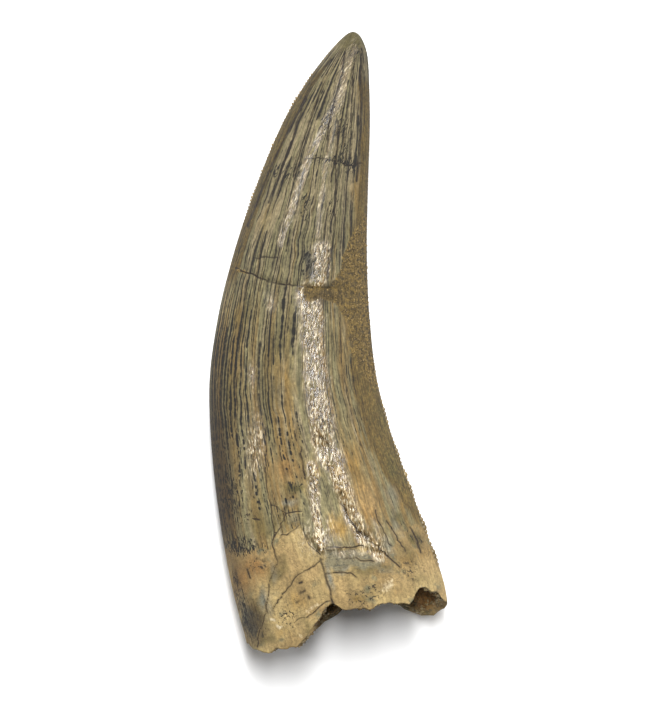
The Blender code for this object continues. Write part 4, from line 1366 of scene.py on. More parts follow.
    def stains(self, tree: Tree, look: Patterns, surface: Socket) -> Socket:
        """Lay the mineral stains over the clean tooth, and painted shade in the creases of the wrinkled
        patches.

        Args:
            tree: The material's nodes.
            look: The shared patterns.
            surface: Colour so far.

        Returns:
            The new colour.
        """
        mask, mottle = look.mask, look.mottle
        for name, breakup, limits in (
                ("gold", look.fibres, (0.1, 1.3)), ("iron", look.fibres, (0.15, 1.5)),
                ("cream", mottle, (0.2, 0.9)), ("brown", look.fibres, (0.2, 0.8)),
                ("olive", look.fibres, (0.1, 1.1)), ("umber_and_shade", look.fibres, (0.15, 0.9)),
                ("slate", look.scribbles, (0.35, 0.95))):
            surface = self.lay_over(tree, surface, getattr(self, name), mask[name], breakup, limits)
        surface = self.lay_over(tree, surface, self.sand_light, mask["brown"], look.grains, (0.85, 1.4))
        surface = self.lay_over(tree, surface, self.olive, mask["brown"], look.marks, (0.9, 1.6))
        surface = self.lay_over(tree, surface, self.mist, mask["mist"], mottle, (0.2, 0.9))
        surface = self.lay_over(tree, surface, self.wrinkle_grey, mask["wrinkled"], mottle, (0.35, 0.8))
        # dark lines along the cross-wise wrinkles, which have no relief: painted shade in their creases
        painted_crease_shade = add_node(tree, MATHS, {0: look.wrinkles, 1: 0.5}, operation="SUBTRACT")
        painted_crease_shade = add_node(tree, MATHS, {0: painted_crease_shade}, operation="ABSOLUTE")
        painted_crease_shade = add_node(tree, RANGE, {"Value": painted_crease_shade, "From Min": 0.04, "From Max": 0.01, "To Max": 0.9})
        painted_crease_shade = add_node(tree, MATHS, {0: painted_crease_shade, 1: mask["wrinkled"]}, operation="MULTIPLY")
        return add_node(tree, MIX, {0: painted_crease_shade, 6: surface, 7: self.slate}, 2, data_type="RGBA")

    def worn_ridges_with_painted_glints(self, tree: Tree, look: Patterns, surface: Socket) -> Socket:
        """Give the polished ridges a paler tone, partly worn enamel and partly painted sheen, then painted
        glints: bright tops and painted shade in the dips between them.

        Args:
            tree: The material's nodes.
            look: The shared patterns.
            surface: Colour so far.

        Returns:
            The new colour.
        """
        # the paler tone is partly worn enamel and partly painted sheen where the ridges catch the light
        surface = self.lay_over(tree, surface, self.worn_and_sheen_pale, look.shiny, look.fibres, (0.1, 1.2))
        # painted glints: near-white on the tops of the wrinkles, painted shade in the dips between them
        painted_glints = add_node(tree, RANGE, {"Value": look.peel, "From Min": 0.54, "From Max": 0.62})
        painted_glints = add_node(tree, MATHS, {0: painted_glints, 1: look.shiny}, operation="MULTIPLY")
        surface = add_node(tree, MIX, {0: painted_glints, 6: surface, 7: self.painted_glint_white}, 2, data_type="RGBA")
        painted_glint_gaps = add_node(tree, RANGE, {"Value": look.peel, "From Min": 0.48, "From Max": 0.41, "To Max": 0.85})
        painted_glint_gaps = add_node(tree, MATHS, {0: painted_glint_gaps, 1: look.shiny}, operation="MULTIPLY")
        return add_node(tree, MIX, {0: painted_glint_gaps, 6: surface, 7: self.enamel_dark}, 2, data_type="RGBA")

    def vigour_of_lines(self, tree: Tree, look: Patterns, number: Socket, dashes: Socket) -> Socket:
        """Work out how strong each lengthwise line is along its run.

        Args:
            tree: The material's nodes.
            look: The shared patterns.
            number: Number of the line.
            dashes: Slow noise along each line, which breaks it into dashes.

        Returns:
            Strength from 0, where there is no line, to 1.
        """
        # every second line starts only near the fracture, where the tooth is wide enough for it
        odd = add_node(tree, MATHS, {0: number, 1: 2.0}, operation="FLOORED_MODULO")
        young = add_node(tree, RANGE, {"Value": look.depth, "From Min": 24.0, "From Max": 15.0})
        absent = add_node(tree, MATHS, {0: odd, 1: young}, operation="MULTIPLY")
        grown = add_node(tree, MATHS, {0: 1.0, 1: absent}, operation="SUBTRACT")
        luck = add_node(tree, "ShaderNodeTexWhiteNoise", {1: number}, noise_dimensions="1D")
        vigour = add_node(tree, ATTRIBUTE, attribute_name="vigour", output="Fac")
        strength = add_node(tree, MATHS, {0: luck, 1: 1.3, 2: 0.25}, operation="MULTIPLY_ADD")
        strength = add_node(tree, MATHS, {0: strength, 1: 1.0}, operation="MINIMUM")
        strength = add_node(tree, MATHS, {0: strength, 1: vigour}, operation="MULTIPLY")
        present = add_node(tree, MATHS, {0: vigour, 1: 0.1, 2: dashes}, operation="MULTIPLY_ADD")
        present = add_node(tree, RANGE, {"Value": present, "From Min": 0.53, "From Max": 0.59})
        strength = add_node(tree, MATHS, {0: strength, 1: present}, operation="MULTIPLY")
        return add_node(tree, MATHS, {0: strength, 1: grown}, operation="MULTIPLY")

    def streaks(self, tree: Tree, look: Patterns, phase: Socket, gap: Socket,
                widest: float) -> tuple[Socket, Socket]:
        """Draw the broken lengthwise lines.

        Args:
            tree: The material's nodes.
            look: The shared patterns.
            phase: Count of lines passed across the tooth.
            gap: Millimetres between lines.
            widest: Half width of the boldest line in millimetres.

        Returns:
            Cover of the dark lines, and of the dark halo beside them.
        """
        number = add_node(tree, MATHS, {0: phase}, operation="ROUND")
        row = add_node(tree, MATHS, {0: number, 1: 7.31}, operation="MULTIPLY")
        run = add_node(tree, COMBINE, {0: row, 1: look.depth, 2: look.side})
        dashes = drawn_out(tree, run, 1.0, 0.24, 3.0, 0.65)
        beads = drawn_out(tree, run, 1.0, 2.2, 1.0)
        strength = self.vigour_of_lines(tree, look, number, dashes)
        off = add_node(tree, MATHS, {0: phase, 1: number}, operation="SUBTRACT")
        off = add_node(tree, MATHS, {0: off}, operation="ABSOLUTE")
        off = add_node(tree, MATHS, {0: off, 1: gap}, operation="MULTIPLY")
        beaded = add_node(tree, RANGE, {"Value": beads, "From Min": 0.3, "From Max": 0.6,
                                        "To Min": 0.35 * widest, "To Max": widest})
        # low on the crown the lines break up into rows of dots
        low = add_node(tree, RANGE, {"Value": look.depth, "From Min": 35.0, "From Max": 39.0,
                                     "To Max": 0.8 * widest})
        breaks = add_node(tree, RANGE, {"Value": beads, "From Min": 0.56, "From Max": 0.44})
        breaks = add_node(tree, MATHS, {0: breaks, 1: low}, operation="MULTIPLY")
        beaded = add_node(tree, MATHS, {0: beaded, 1: breaks}, operation="SUBTRACT")
        half_width = add_node(tree, MATHS, {0: strength, 1: beaded}, operation="MULTIPLY")
        inside = add_node(tree, MATHS, {0: off, 1: half_width}, operation="SUBTRACT")
        line = add_node(tree, RANGE, {"Value": inside, "From Min": 0.025, "From Max": -0.02})
        shown = add_node(tree, RANGE, {"Value": strength, "From Min": 0.05, "From Max": 0.35})
        line = add_node(tree, MATHS, {0: line, 1: shown}, operation="MULTIPLY")
        near = add_node(tree, RANGE, {"Value": off, "From Min": 0.3, "From Max": 0.05})
        fading = add_node(tree, RANGE, {"Value": look.depth, "From Min": 27.0, "From Max": 21.0,
                                        "To Min": 0.25, "To Max": 0.7})
        halo = add_node(tree, MATHS, {0: near, 1: strength}, operation="MULTIPLY")
        halo = add_node(tree, MATHS, {0: halo, 1: fading}, operation="MULTIPLY")
        return line, halo

    def dark_marks(self, tree: Tree, look: Patterns, surface: Socket) -> Socket:
        """Draw the lengthwise lines, the hairlines between them and the sooty scribbles.

        Args:
            tree: The material's nodes.
            look: The shared patterns.
            surface: Colour so far.

        Returns:
            The new colour.
        """
        line, halo = self.streaks(tree, look, look.phase, look.gap, self.line_half_width)
        between = add_node(tree, MATHS, {0: look.phase, 1: self.hairlines_for_a_line, 2: 0.37},
                           operation="MULTIPLY_ADD")
        narrow_gap = add_node(tree, MATHS, {0: look.gap, 1: self.hairlines_for_a_line}, operation="DIVIDE")
        hairline, _ = self.streaks(tree, look, between, narrow_gap, self.hairline_half_width)
        line = add_node(tree, MATHS, {0: line, 1: hairline}, operation="MAXIMUM")
        surface = self.lay_over(tree, surface, self.enamel_dark, halo, look.fibres, (0.1, 1.1))
        old = add_node(tree, RANGE, {"Value": look.depth, "From Min": 22.0, "From Max": 26.0})
        ink = add_node(tree, MIX, {0: old, 6: self.streak_blue, 7: self.streak_black}, 2, data_type="RGBA")
        surface = add_node(tree, MIX, {0: line, 6: surface, 7: ink}, 2, data_type="RGBA")
        return self.lay_over(tree, surface, self.streak_black, look.mask["soot"], look.marks, (0.62, 0.78))

    def pores_and_veins(self, tree: Tree, look: Patterns, surface: Socket) -> Socket:
        """Draw pores of 0.3 mm, and veins as fine as a hair and crystals on the bare dentine.

        Args:
            tree: The material's nodes.
            look: The shared patterns.
            surface: Colour so far.

        Returns:
            The new colour.
        """
        mask = look.mask
        specks = add_node(tree, NOISE, {"Vector": look.place, "Scale": 3800.0, "Detail": 1.0,
                                        "Distortion": 0.9})
        specks = add_node(tree, RANGE, {"Value": specks, "From Min": 0.58, "From Max": 0.64})
        pores = add_node(tree, RANGE, {"Value": mask["pitted"], "From Min": 0.15, "From Max": 0.5})
        pores = add_node(tree, MATHS, {0: specks, 1: pores}, operation="MULTIPLY")
        surface = add_node(tree, MIX, {0: pores, 6: surface, 7: self.pit}, 2, data_type="RGBA")
        veins = add_node(tree, NOISE, {"Vector": look.place, "Scale": 620.0, "Detail": 5.0,
                                       "Distortion": 1.6})
        veins = add_node(tree, MATHS, {0: veins, 1: 0.5}, operation="SUBTRACT")
        veins = add_node(tree, MATHS, {0: veins}, operation="ABSOLUTE")
        veins = add_node(tree, RANGE, {"Value": veins, "From Min": 0.014, "From Max": 0.0, "To Max": 0.55})
        veins = add_node(tree, MATHS, {0: veins, 1: mask["dentine"]}, operation="MULTIPLY")
        surface = add_node(tree, MIX, {0: veins, 6: surface, 7: self.enamel_dark}, 2, data_type="RGBA")
        return self.lay_over(tree, surface, self.crystal, mask["crystal"], look.grains, (0.4, 0.8))

    def sand_and_cracks(self, tree: Tree, look: Patterns, surface: Socket) -> Socket:
        """Lay on the cemented sandstone and draw the cracks.

        Args:
            tree: The material's nodes.
            look: The shared patterns.
            surface: Colour so far.

        Returns:
            The new colour.
        """
        mask = look.mask
        sand = self.lay_over(tree, self.sand_dark, self.sand_light, 0.0, look.grains, (-0.12, 0.12))
        # darker sand below the fracture's lip: painted shade under the edge of the upper fragment
        sand = self.lay_over(tree, sand, self.pit, mask["umber_and_shade"], look.grains, (0.3, 1.1))
        surface = self.lay_over(tree, surface, sand, mask["matrix"], look.grains, (0.3, 0.6))
        # the bone has taken up a little brown beside its cracks, and the cracks fade here and there
        seep = add_node(tree, RANGE, {"Value": mask["cracks"], "From Min": 5.0, "From Max": 1.2,
                                      "To Max": 0.5})
        seep = add_node(tree, MATHS, {0: seep, 1: mask["dentine"]}, operation="MULTIPLY")
        surface = self.lay_over(tree, surface, self.seep_brown, seep, look.mottle, (0.2, 0.8))
        crack = add_node(tree, RANGE, {"Value": mask["cracks"], "From Min": 1.4, "From Max": 0.4})
        open_share = add_node(tree, RANGE, {"Value": look.mottle, "From Min": 0.36, "From Max": 0.56,
                                            "To Min": 0.45, "To Max": 0.95})
        crack = add_node(tree, MATHS, {0: crack, 1: open_share}, operation="MULTIPLY")
        return add_node(tree, MIX, {0: crack, 6: surface, 7: self.crack_brown}, 2, data_type="RGBA")

    def broken_rim(self, tree: Tree, look: Patterns, surface: Socket) -> tuple[Socket, Socket]:
        """Colour the broken rim and the rust on it, and darken the pulp cavity inwards with painted shade.

        Args:
            tree: The material's nodes.
            look: The shared patterns.
            surface: Colour so far.

        Returns:
            The new colour, and the cover of the rim.
        """
        rim = self.lay_over(tree, self.rim, self.pit, 0.0, look.grains, (-0.05, 0.15))
        cover = add_node(tree, RANGE, {"Value": look.mask["hollow"], "From Min": 0.0, "From Max": 0.4})
        surface = add_node(tree, MIX, {0: cover, 6: surface, 7: rim}, 2, data_type="RGBA")
        rust = add_node(tree, MATHS, {0: cover, 1: look.mask["iron"]}, operation="MULTIPLY")
        surface = self.lay_over(tree, surface, self.rust, rust, look.mottle, (0.2, 0.8))
        # deeper in the pulp cavity the colour goes almost black: painted shade
        deep = add_node(tree, RANGE, {"Value": look.mask["hollow"], "From Min": 0.55, "From Max": 1.0,
                                      "To Max": 0.9})
        return add_node(tree, MIX, {0: deep, 6: surface, 7: self.painted_cavity_shade}, 2, data_type="RGBA"), cover

    def shade(self, tree: Tree, look: Patterns) -> Socket:
        """Make the fine lightness of the surface: grain along the enamel, and the pale lower crown.

        Args:
            tree: The material's nodes.
            look: The shared patterns.

        Returns:
            Factor for the colour, near 1.
        """
        thread = add_node(tree, RANGE, {"Value": look.threads, "From Min": 0.25, "From Max": 0.75,
                                        "To Min": 0.5, "To Max": 1.5})
        worn = add_node(tree, RANGE, {"Value": look.mottle, "From Min": 0.25, "From Max": 0.75,
                                      "To Min": 0.85, "To Max": 1.15})
        shade = add_node(tree, MIX, {0: look.mask["dentine"], 2: thread, 3: worn}, 0, data_type="FLOAT")
        veined = {"Value": look.fibres, "From Min": 0.3, "From Max": 0.7, "To Min": 0.76, "To Max": 1.24}
        speckled = {"Value": look.grains, "From Min": 0.3, "From Max": 0.7, "To Min": 0.7, "To Max": 1.3}
        near_tip = {"Value": look.depth, "From Min": 20.0, "From Max": 26.0, "To Min": 0.93}
        near_base = {"Value": look.depth, "From Min": 36.0, "From Max": 46.0, "To Min": 1.0, "To Max": 1.22}
        for change in (veined, speckled, near_tip, near_base):
            shade = add_node(tree, MATHS, {0: shade, 1: add_node(tree, RANGE, change)}, operation="MULTIPLY")
        return shade

    def relief(self, tree: Tree, look: Patterns, granular: Socket) -> Socket:
        """Make the relief that is too fine for the mesh.

        Args:
            tree: The material's nodes.
            look: The shared patterns.
            granular: 1 on sandstone and on the broken rim.

        Returns:
            The normal.
        """
        wrinkle = drawn_out(tree, look.lengthwise, 4.5, 0.9, 3.0, 0.6)
        fine = add_node(tree, BUMP, {"Strength": 1.0, "Distance": 0.00004, "Height": wrinkle})
        # polished enamel is wrinkled lengthwise and glitters
        peel = add_node(tree, MATHS, {0: look.peel, 1: look.mask["polish"]}, operation="MULTIPLY")
        fine = add_node(tree, BUMP, {"Strength": 1.0, "Distance": 0.0001, "Height": peel, "Normal": fine})
        crumbly = add_node(tree, MATHS, {0: look.mask["dentine"], 1: 0.35, 2: granular},
                           operation="MULTIPLY_ADD")
        gritty = add_node(tree, MATHS, {0: look.grains, 1: crumbly}, operation="MULTIPLY")
        return add_node(tree, BUMP, {"Strength": 1.0, "Distance": 0.00025, "Height": gritty, "Normal": fine})

    def make(self) -> bpy.types.Material:
        """Build the material.

        Returns:
            The material.
        """
        material, tree, shader = start_material(self.name)
        look = self.patterns(tree)
        surface = self.ground(tree, look)
        for layer in (self.stains, self.worn_ridges_with_painted_glints, self.dark_marks, self.pores_and_veins,
                      self.sand_and_cracks):
            surface = layer(tree, look, surface)
        surface, rim_cover = self.broken_rim(tree, look, surface)
        surface = add_node(tree, "ShaderNodeVectorMath", {0: surface, "Scale": self.shade(tree, look)},
                           operation="SCALE")
        tree.links.new(surface, shader.inputs["Base Color"])
        granular = add_node(tree, MATHS, {0: look.mask["matrix"], 1: rim_cover}, operation="MAXIMUM")
        gloss = add_node(tree, MATHS, {0: look.shiny, 1: -0.76, 2: 0.93}, operation="MULTIPLY_ADD")
        dull = add_node(tree, MATHS, {0: granular, 1: 0.9}, operation="MULTIPLY")
        rough = add_node(tree, MATHS, {0: gloss, 1: dull}, operation="MAXIMUM")
        tree.links.new(rough, shader.inputs["Roughness"])
        tree.links.new(self.relief(tree, look, granular), shader.inputs["Normal"])
        # apatite and calcite both bend light at about 1.6; a worn surface sends back less of it
        shader.inputs["IOR"].default_value = 1.6
        shader.inputs["Specular IOR Level"].default_value = 0.46
        return material


@dataclass(frozen=True)
class GrainFinish:
    """Loose-looking grains of quartz, ironstone or bone that are cemented fast: each has one dull tone."""

    name: str
    dark: str
    light: str

    def make(self) -> bpy.types.Material:
        """Build the material.

        Returns:
            The material.
        """
        material, tree, shader = start_material(self.name)
        tone = add_node(tree, ATTRIBUTE, attribute_name="tone", output="Fac")
        colour = add_node(tree, MIX, {0: tone, 6: self.dark, 7: self.light}, 2, data_type="RGBA")
        tree.links.new(colour, shader.inputs["Base Color"])
        rough = add_node(tree, RANGE, {"Value": tone, "To Min": 0.85, "To Max": 0.45})
        tree.links.new(rough, shader.inputs["Roughness"])
        # quartz bends light at 1.54
        shader.inputs["IOR"].default_value = 1.54
        return material


@dataclass(frozen=True)
class DenticleFinish:
    """Enamel of the serrations: the same brown as the cutting edges, with blotches of paler tan that are
    painted highlight for the light on the denticles.
    """

    name: str = "serration_enamel"
    brown: str = "#55441f"
    tan: str = "#8e7a50"

    def make(self) -> bpy.types.Material:
        """Build the material.

        Returns:
            The material.
        """
        material, tree, shader = start_material(self.name)
        place = add_node(tree, "ShaderNodeTexCoord", output="Object")
        # blotches of 1.5 mm and grain of 0.2 mm
        blotch = add_node(tree, NOISE, {"Vector": place, "Scale": 700.0, "Detail": 4.0, "Roughness": 0.7})
        # the tan blotches are painted highlight, standing in for the light that the denticles' tops catch
        amount = add_node(tree, RANGE, {"Value": blotch, "From Min": 0.35, "From Max": 0.65})
        colour = add_node(tree, MIX, {0: amount, 6: self.brown, 7: self.tan}, 2, data_type="RGBA")
        tree.links.new(colour, shader.inputs["Base Color"])
        grain = add_node(tree, NOISE, {"Vector": place, "Scale": 5000.0, "Detail": 2.0})
        bump = add_node(tree, BUMP, {"Strength": 1.0, "Distance": 0.00004, "Height": grain})
        tree.links.new(bump, shader.inputs["Normal"])
        shader.inputs["Roughness"].default_value = 0.45
        shader.inputs["IOR"].default_value = 1.6
        return material


# Small pieces that follow an edge or lie on a surface

FULL_TURN = 6.28


def add_inputs(tree: Tree, sizes: dict[str, float | int]) -> dict[str, str]:
    """Give a tree its geometry input, its named sizes and its output.

    Args:
        tree: The geometry tree.
        sizes: Name of each input to its value.

    Returns:
        Name of each input to its socket identifier.
    """
    tree.interface.new_socket("Geometry", in_out="INPUT", socket_type="NodeSocketGeometry")
    tree.interface.new_socket("Geometry", in_out="OUTPUT", socket_type="NodeSocketGeometry")
    named = {}
    for name, value in sizes.items():
        kind = "NodeSocketInt" if isinstance(value, int) else "NodeSocketFloat"
        socket = tree.interface.new_socket(name, in_out="INPUT", socket_type=kind)
        socket.default_value = value
        named[name] = socket.identifier
    return named


def grow(host: bpy.types.Object, tree: Tree, sizes: dict[str, float | int],
         identifiers: dict[str, str], name: str) -> bpy.types.Object:
    """Run a geometry tree on a host and keep the result as a plain mesh.

    Args:
        host: Object that carries the path or surface. It is removed.
        tree: The geometry tree.
        sizes: Name of each input to its value.
        identifiers: Name of each input to its socket identifier.
        name: Name of the finished piece.

    Returns:
        The finished piece.
    """
    modifier = host.modifiers.new("grow", "NODES")
    modifier.node_group = tree
    for size, value in sizes.items():
        modifier[identifiers[size]] = value
    bpy.context.view_layer.update()
    evaluated = host.evaluated_get(bpy.context.evaluated_depsgraph_get())
    mesh = bpy.data.meshes.new_from_object(evaluated)
    mesh.name = name
    host.modifiers.clear()
    bpy.data.objects.remove(host)
    return put_in_scene(name, mesh)


# depth below the tip, and the share of its full size that a denticle has there
DISTAL_DENTICLE_SIZES: Line = (
    (1.5, 0.45), (16.0, 0.55), (18.0, 0.3), (27.0, 0.3), (30.0, 0.6), (38.0, 0.9), (49.0, 1.0), (51.0, 0.3))
MESIAL_DENTICLE_SIZES: Line = ((2.0, 0.4), (5.0, 0.75), (15.0, 0.75), (21.0, 0.4))


@dataclass
class Serration:
    """A row of denticles along one cutting edge: a rounded chisel at each step of the pitch."""

    name: str
    across: float
    sizes_at: Line
    pitch: float = 0.4
    proud: float = 0.28
    thick: float = 0.17
    inset: float = 0.14
    overlap: float = 0.66
    wear: float = 0.25
    seed: int = 5

    def edge(self, form: ToothForm, fit: FrameFit) -> bpy.types.Object:
        """Draw the edge as a line of points that carry the size of the denticle there.

        Args:
            form: The tooth's form.
            fit: The move into the frame.

        Returns:
            The line.
        """
        depth = np.arange(self.sizes_at[0][0], self.sizes_at[-1][0], 0.1)
        points = form.skin(np.full_like(depth, self.across), depth, np.full(depth.shape, True))
        points[:, 0] += self.inset * (1.0 - 2.0 * self.across)
        places = fit.place(points)
        mesh = bpy.data.meshes.new(self.name + "_edge")
        mesh.from_pydata(places.tolist(), [(i, i + 1) for i in range(len(depth) - 1)], [])
        wear = 1.0 + self.wear * cell_noise(depth / 0.6, depth * 0.0, self.seed)
        sizes = along_line(self.sizes_at, depth) * wear
        store(mesh, "size", "FLOAT", sizes)
        return put_in_scene(self.name + "_edge", mesh)

    def tree(self, material: bpy.types.Material) -> tuple[Tree, dict, dict]:
        """Build the tree that sets a denticle at each step along the edge.

        Args:
            material: Finish of the denticles.

        Returns:
            The tree, its sizes, and the identifiers of its inputs.
        """
        tree = bpy.data.node_groups.new(self.name, "GeometryNodeTree")
        sizes = {"Pitch": self.pitch * MILLIMETRE, "Proud": self.proud * MILLIMETRE,
                 "Thick": self.thick * MILLIMETRE, "Seed": self.seed}
        named = add_inputs(tree, sizes)
        source = add_node(tree, "NodeGroupInput", output="Geometry")
        pitch = add_node(tree, "NodeGroupInput", output="Pitch")
        curve = add_node(tree, "GeometryNodeMeshToCurve", {0: source})
        steps = add_node(tree, "GeometryNodeResampleCurve", {"Curve": curve, "Length": pitch}, mode="LENGTH")
        ball = add_node(tree, "GeometryNodeMeshIcoSphere", {"Radius": 1.0, "Subdivisions": 2})
        half_pitch = add_node(tree, MATHS, {0: pitch, 1: self.overlap}, operation="MULTIPLY")
        shape = add_node(tree, COMBINE, {0: add_node(tree, "NodeGroupInput", output="Proud"), 1: half_pitch,
                                         2: add_node(tree, "NodeGroupInput", output="Thick")})
        seed = add_node(tree, "NodeGroupInput", output="Seed")
        luck = add_node(tree, "FunctionNodeRandomValue", {2: 0.86, 3: 1.1, 8: seed}, 1, data_type="FLOAT")
        size = add_node(tree, "GeometryNodeInputNamedAttribute", {"Name": "size"}, data_type="FLOAT")
        scale = add_node(tree, MATHS, {0: luck, 1: size}, operation="MULTIPLY")
        scale = add_node(tree, "ShaderNodeVectorMath", {0: shape, "Scale": scale}, operation="SCALE")
        tangent = add_node(tree, "GeometryNodeInputTangent")
        turn = add_node(tree, "FunctionNodeAlignRotationToVector", {"Vector": tangent}, axis="Y")
        beads = add_node(tree, "GeometryNodeInstanceOnPoints",
                         {"Points": steps, "Instance": ball, "Rotation": turn, "Scale": scale})
        mesh = add_node(tree, "GeometryNodeRealizeInstances", {0: beads})
        smooth = add_node(tree, "GeometryNodeSetShadeSmooth", {0: mesh})
        dressed = add_node(tree, "GeometryNodeSetMaterial", {"Geometry": smooth, "Material": material})
        output = tree.nodes.new("NodeGroupOutput")
        tree.links.new(dressed, output.inputs[0])
        return tree, sizes, named

    def build(self, form: ToothForm, fit: FrameFit, material: bpy.types.Material) -> bpy.types.Object:
        """Make the row of denticles."""
        tree, sizes, named = self.tree(material)
        return grow(self.edge(form, fit), tree, sizes, named, self.name)


@dataclass
class Grit:
    """Grains that stand proud of a rough surface: cemented sandstone, or crumbs on the broken rim."""

    name: str
    grains_per_square_mm: float = 14.0
    radius: float = 0.085
    seed: int = 11

    def tree(self, material: bpy.types.Material) -> tuple[Tree, dict, dict]:
        """Build the tree that strews the grains.

        Args:
            material: Finish of the grains.

        Returns:
            The tree, its sizes, and the identifiers of its inputs.
        """
        tree = bpy.data.node_groups.new(self.name, "GeometryNodeTree")
        sizes = {"Density": self.grains_per_square_mm / MILLIMETRE ** 2, "Radius": self.radius * MILLIMETRE,
                 "Seed": self.seed}
        named = add_inputs(tree, sizes)
        source = add_node(tree, "NodeGroupInput", output="Geometry")
        seed = add_node(tree, "NodeGroupInput", output="Seed")
        cover = add_node(tree, "GeometryNodeInputNamedAttribute", {"Name": "cover"}, data_type="FLOAT")
        density = add_node(tree, MATHS, {0: cover, 1: add_node(tree, "NodeGroupInput", output="Density")},
                           operation="MULTIPLY")
        points = add_node(tree, "GeometryNodeDistributePointsOnFaces",
                          {"Mesh": source, "Density": density, "Seed": seed})
        radius = add_node(tree, "NodeGroupInput", output="Radius")
        ball = add_node(tree, "GeometryNodeMeshIcoSphere", {"Radius": radius, "Subdivisions": 1})
        still, full_turn = (0.0, 0.0, 0.0), (FULL_TURN, FULL_TURN, FULL_TURN)
        turn = add_node(tree, "FunctionNodeRandomValue", {0: still, 1: full_turn, 8: seed}, 0,
                        data_type="FLOAT_VECTOR")
        least, most = (0.5, 0.5, 0.35), (1.45, 1.2, 1.0)
        scale = add_node(tree, "FunctionNodeRandomValue", {0: least, 1: most, 8: seed}, 0,
                         data_type="FLOAT_VECTOR")
        grains = add_node(tree, "GeometryNodeInstanceOnPoints",
                          {"Points": points, "Instance": ball, "Rotation": turn, "Scale": scale})
        luck = add_node(tree, "FunctionNodeRandomValue", {2: 0.0, 3: 1.0, 8: seed}, 1, data_type="FLOAT")
        toned = add_node(tree, "GeometryNodeStoreNamedAttribute",
                         {"Geometry": grains, "Name": "tone", "Value": luck}, data_type="FLOAT",
                         domain="INSTANCE")
        mesh = add_node(tree, "GeometryNodeRealizeInstances", {0: toned})
        dressed = add_node(tree, "GeometryNodeSetMaterial", {"Geometry": mesh, "Material": material})
        output = tree.nodes.new("NodeGroupOutput")
        tree.links.new(dressed, output.inputs[0])
        return tree, sizes, named

    def build(self, host: bpy.types.Object, material: bpy.types.Material) -> bpy.types.Object:
        """Strew the grains over the host, which is removed."""
        tree, sizes, named = self.tree(material)
        return grow(host, tree, sizes, named, self.name)


# Studio

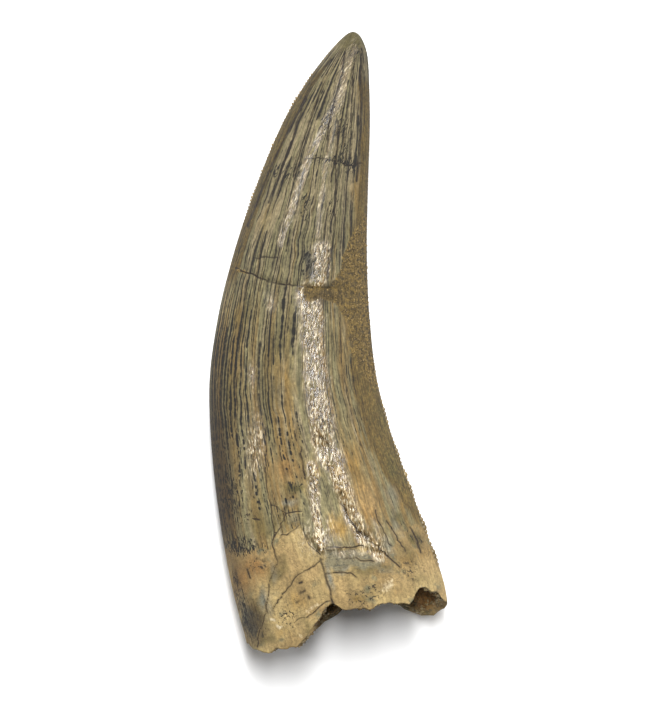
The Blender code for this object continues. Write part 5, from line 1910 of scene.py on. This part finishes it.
@dataclass(frozen=True)
class Studio:
    """Plain pale floor, soft light and a camera that looks straight down on the tooth."""

    picture_size: tuple[int, int] = (665, 702)
    tooth_box: tuple[float, float, float, float] = (209.0, 32.0, 447.5, 651.5)
    lens: float = 240.0
    sensor: float = 36.0
    tip_height: float = 1.3
    base_height: float = 5.0
    board_half_side: float = 3.0
    board_gap: float = 0.0001

    def camera(self) -> None:
        """Put the camera where the tip and the base come to their places in the picture."""
        low, high = CAD_BOUNDS
        left, top, right, bottom = self.tooth_box
        pixels = self.picture_size[1] * self.lens / self.sensor
        up, down = self.picture_size[1] / 2.0 - top, bottom - self.picture_size[1] / 2.0
        tip_height, base_height = self.tip_height * MILLIMETRE, self.base_height * MILLIMETRE
        height = ((high[1] - low[1]) * pixels + up * tip_height + down * base_height) / (up + down)
        y = high[1] - up * (height - tip_height) / pixels
        aside = self.picture_size[0] / 2.0 - (left + right) / 2.0
        x = (low[0] + high[0]) / 2.0 + aside * (height - base_height) / pixels
        data = bpy.data.cameras.new("camera")
        data.lens = self.lens
        data.sensor_width = self.sensor
        data.clip_start = 0.005
        camera = put_in_scene("camera", data)
        camera.location = (x, y, height)
        bpy.context.scene.camera = camera

    def lamp(self, name: str, place: tuple[float, float, float], size: tuple[float, float],
             power: float) -> None:
        """Add a soft rectangular light that looks at the tooth.

        Args:
            name: Name of the light.
            place: Where it is, in metres.
            size: Its two sides in metres.
            power: Power in watts.
        """
        data = bpy.data.lights.new(name, "AREA")
        data.shape = "RECTANGLE"
        data.size, data.size_y = size
        data.energy = power
        lamp = put_in_scene(name, data)
        lamp.location = place
        lamp.rotation_euler = (-Vector(place)).to_track_quat("-Z", "Y").to_euler()

    def floor(self) -> None:
        """Lay a wide white board under the tooth."""
        mesh = bpy.data.meshes.new("floor")
        side = self.board_half_side
        corners = [(-side, -side, 0), (side, -side, 0), (side, side, 0), (-side, side, 0)]
        mesh.from_pydata(corners, [], [(0, 1, 2, 3)])
        floor = put_in_scene("floor", mesh)
        floor.location.z = -self.board_gap
        material, _, shader = start_material("white_board")
        shader.inputs["Base Color"].default_value = (0.96, 0.96, 0.96, 1.0)
        shader.inputs["Roughness"].default_value = 0.9
        shader.inputs["Specular IOR Level"].default_value = 0.1
        mesh.materials.append(material)

    def build(self) -> None:
        """Set up floor, world, lights and camera."""
        self.floor()
        world = bpy.data.worlds.new("studio")
        world.use_nodes = True
        background = world.node_tree.nodes["Background"]
        background.inputs["Color"].default_value = (1.0, 1.0, 1.0, 1.0)
        background.inputs["Strength"].default_value = 0.14
        bpy.context.scene.world = world
        self.lamp("key", (0.11, 0.22, 0.4), (0.4, 0.36), 1.48)
        self.lamp("crest_strip", (0.0, 0.18, 0.45), (0.06, 0.32), 3.1)
        self.lamp("side_strip", (-0.42, 0.1, 0.34), (0.03, 0.16), 0.42)
        scene = bpy.context.scene
        scene.view_settings.view_transform = "Standard"
        self.camera()


def main() -> None:
    """Build and dress the tooth and its small pieces, then the studio."""
    logging.basicConfig(level=logging.INFO, format="%(name)s: %(message)s")
    tooth = ToothBody()
    body = tooth.build()
    body.data.materials.append(FossilFinish().make())
    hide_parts("tooth")
    serration_enamel = DenticleFinish().make()
    distal = Serration("distal_denticles", 1.0, DISTAL_DENTICLE_SIZES)
    mesial = Serration("mesial_denticles", 0.0, MESIAL_DENTICLE_SIZES, pitch=0.33, inset=0.1, overlap=0.55,
                       seed=6)
    pieces = [body]
    for row in (distal, mesial):
        pieces.append(row.build(tooth.form, tooth.fit, serration_enamel))
    sand = GrainFinish("cemented_sandstone_grains", "#43361d", "#8c733f")
    pieces.append(Grit("sandstone_grains").build(tooth.sandy_skin(body), sand.make()))
    crumbs = Grit("rim_crumbs", grains_per_square_mm=9.0, radius=0.17, seed=12)
    crumb_finish = GrainFinish("crumbling_dentine", "#54472a", "#95835c")
    pieces.append(crumbs.build(tooth.crumbling_rim(body), crumb_finish.make()))
    for piece in pieces:
        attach(piece, "root")
        LOG.info("%s: %d faces", piece.name, len(piece.data.polygons))
    Studio().build()


if __name__ == "__main__":
    main()
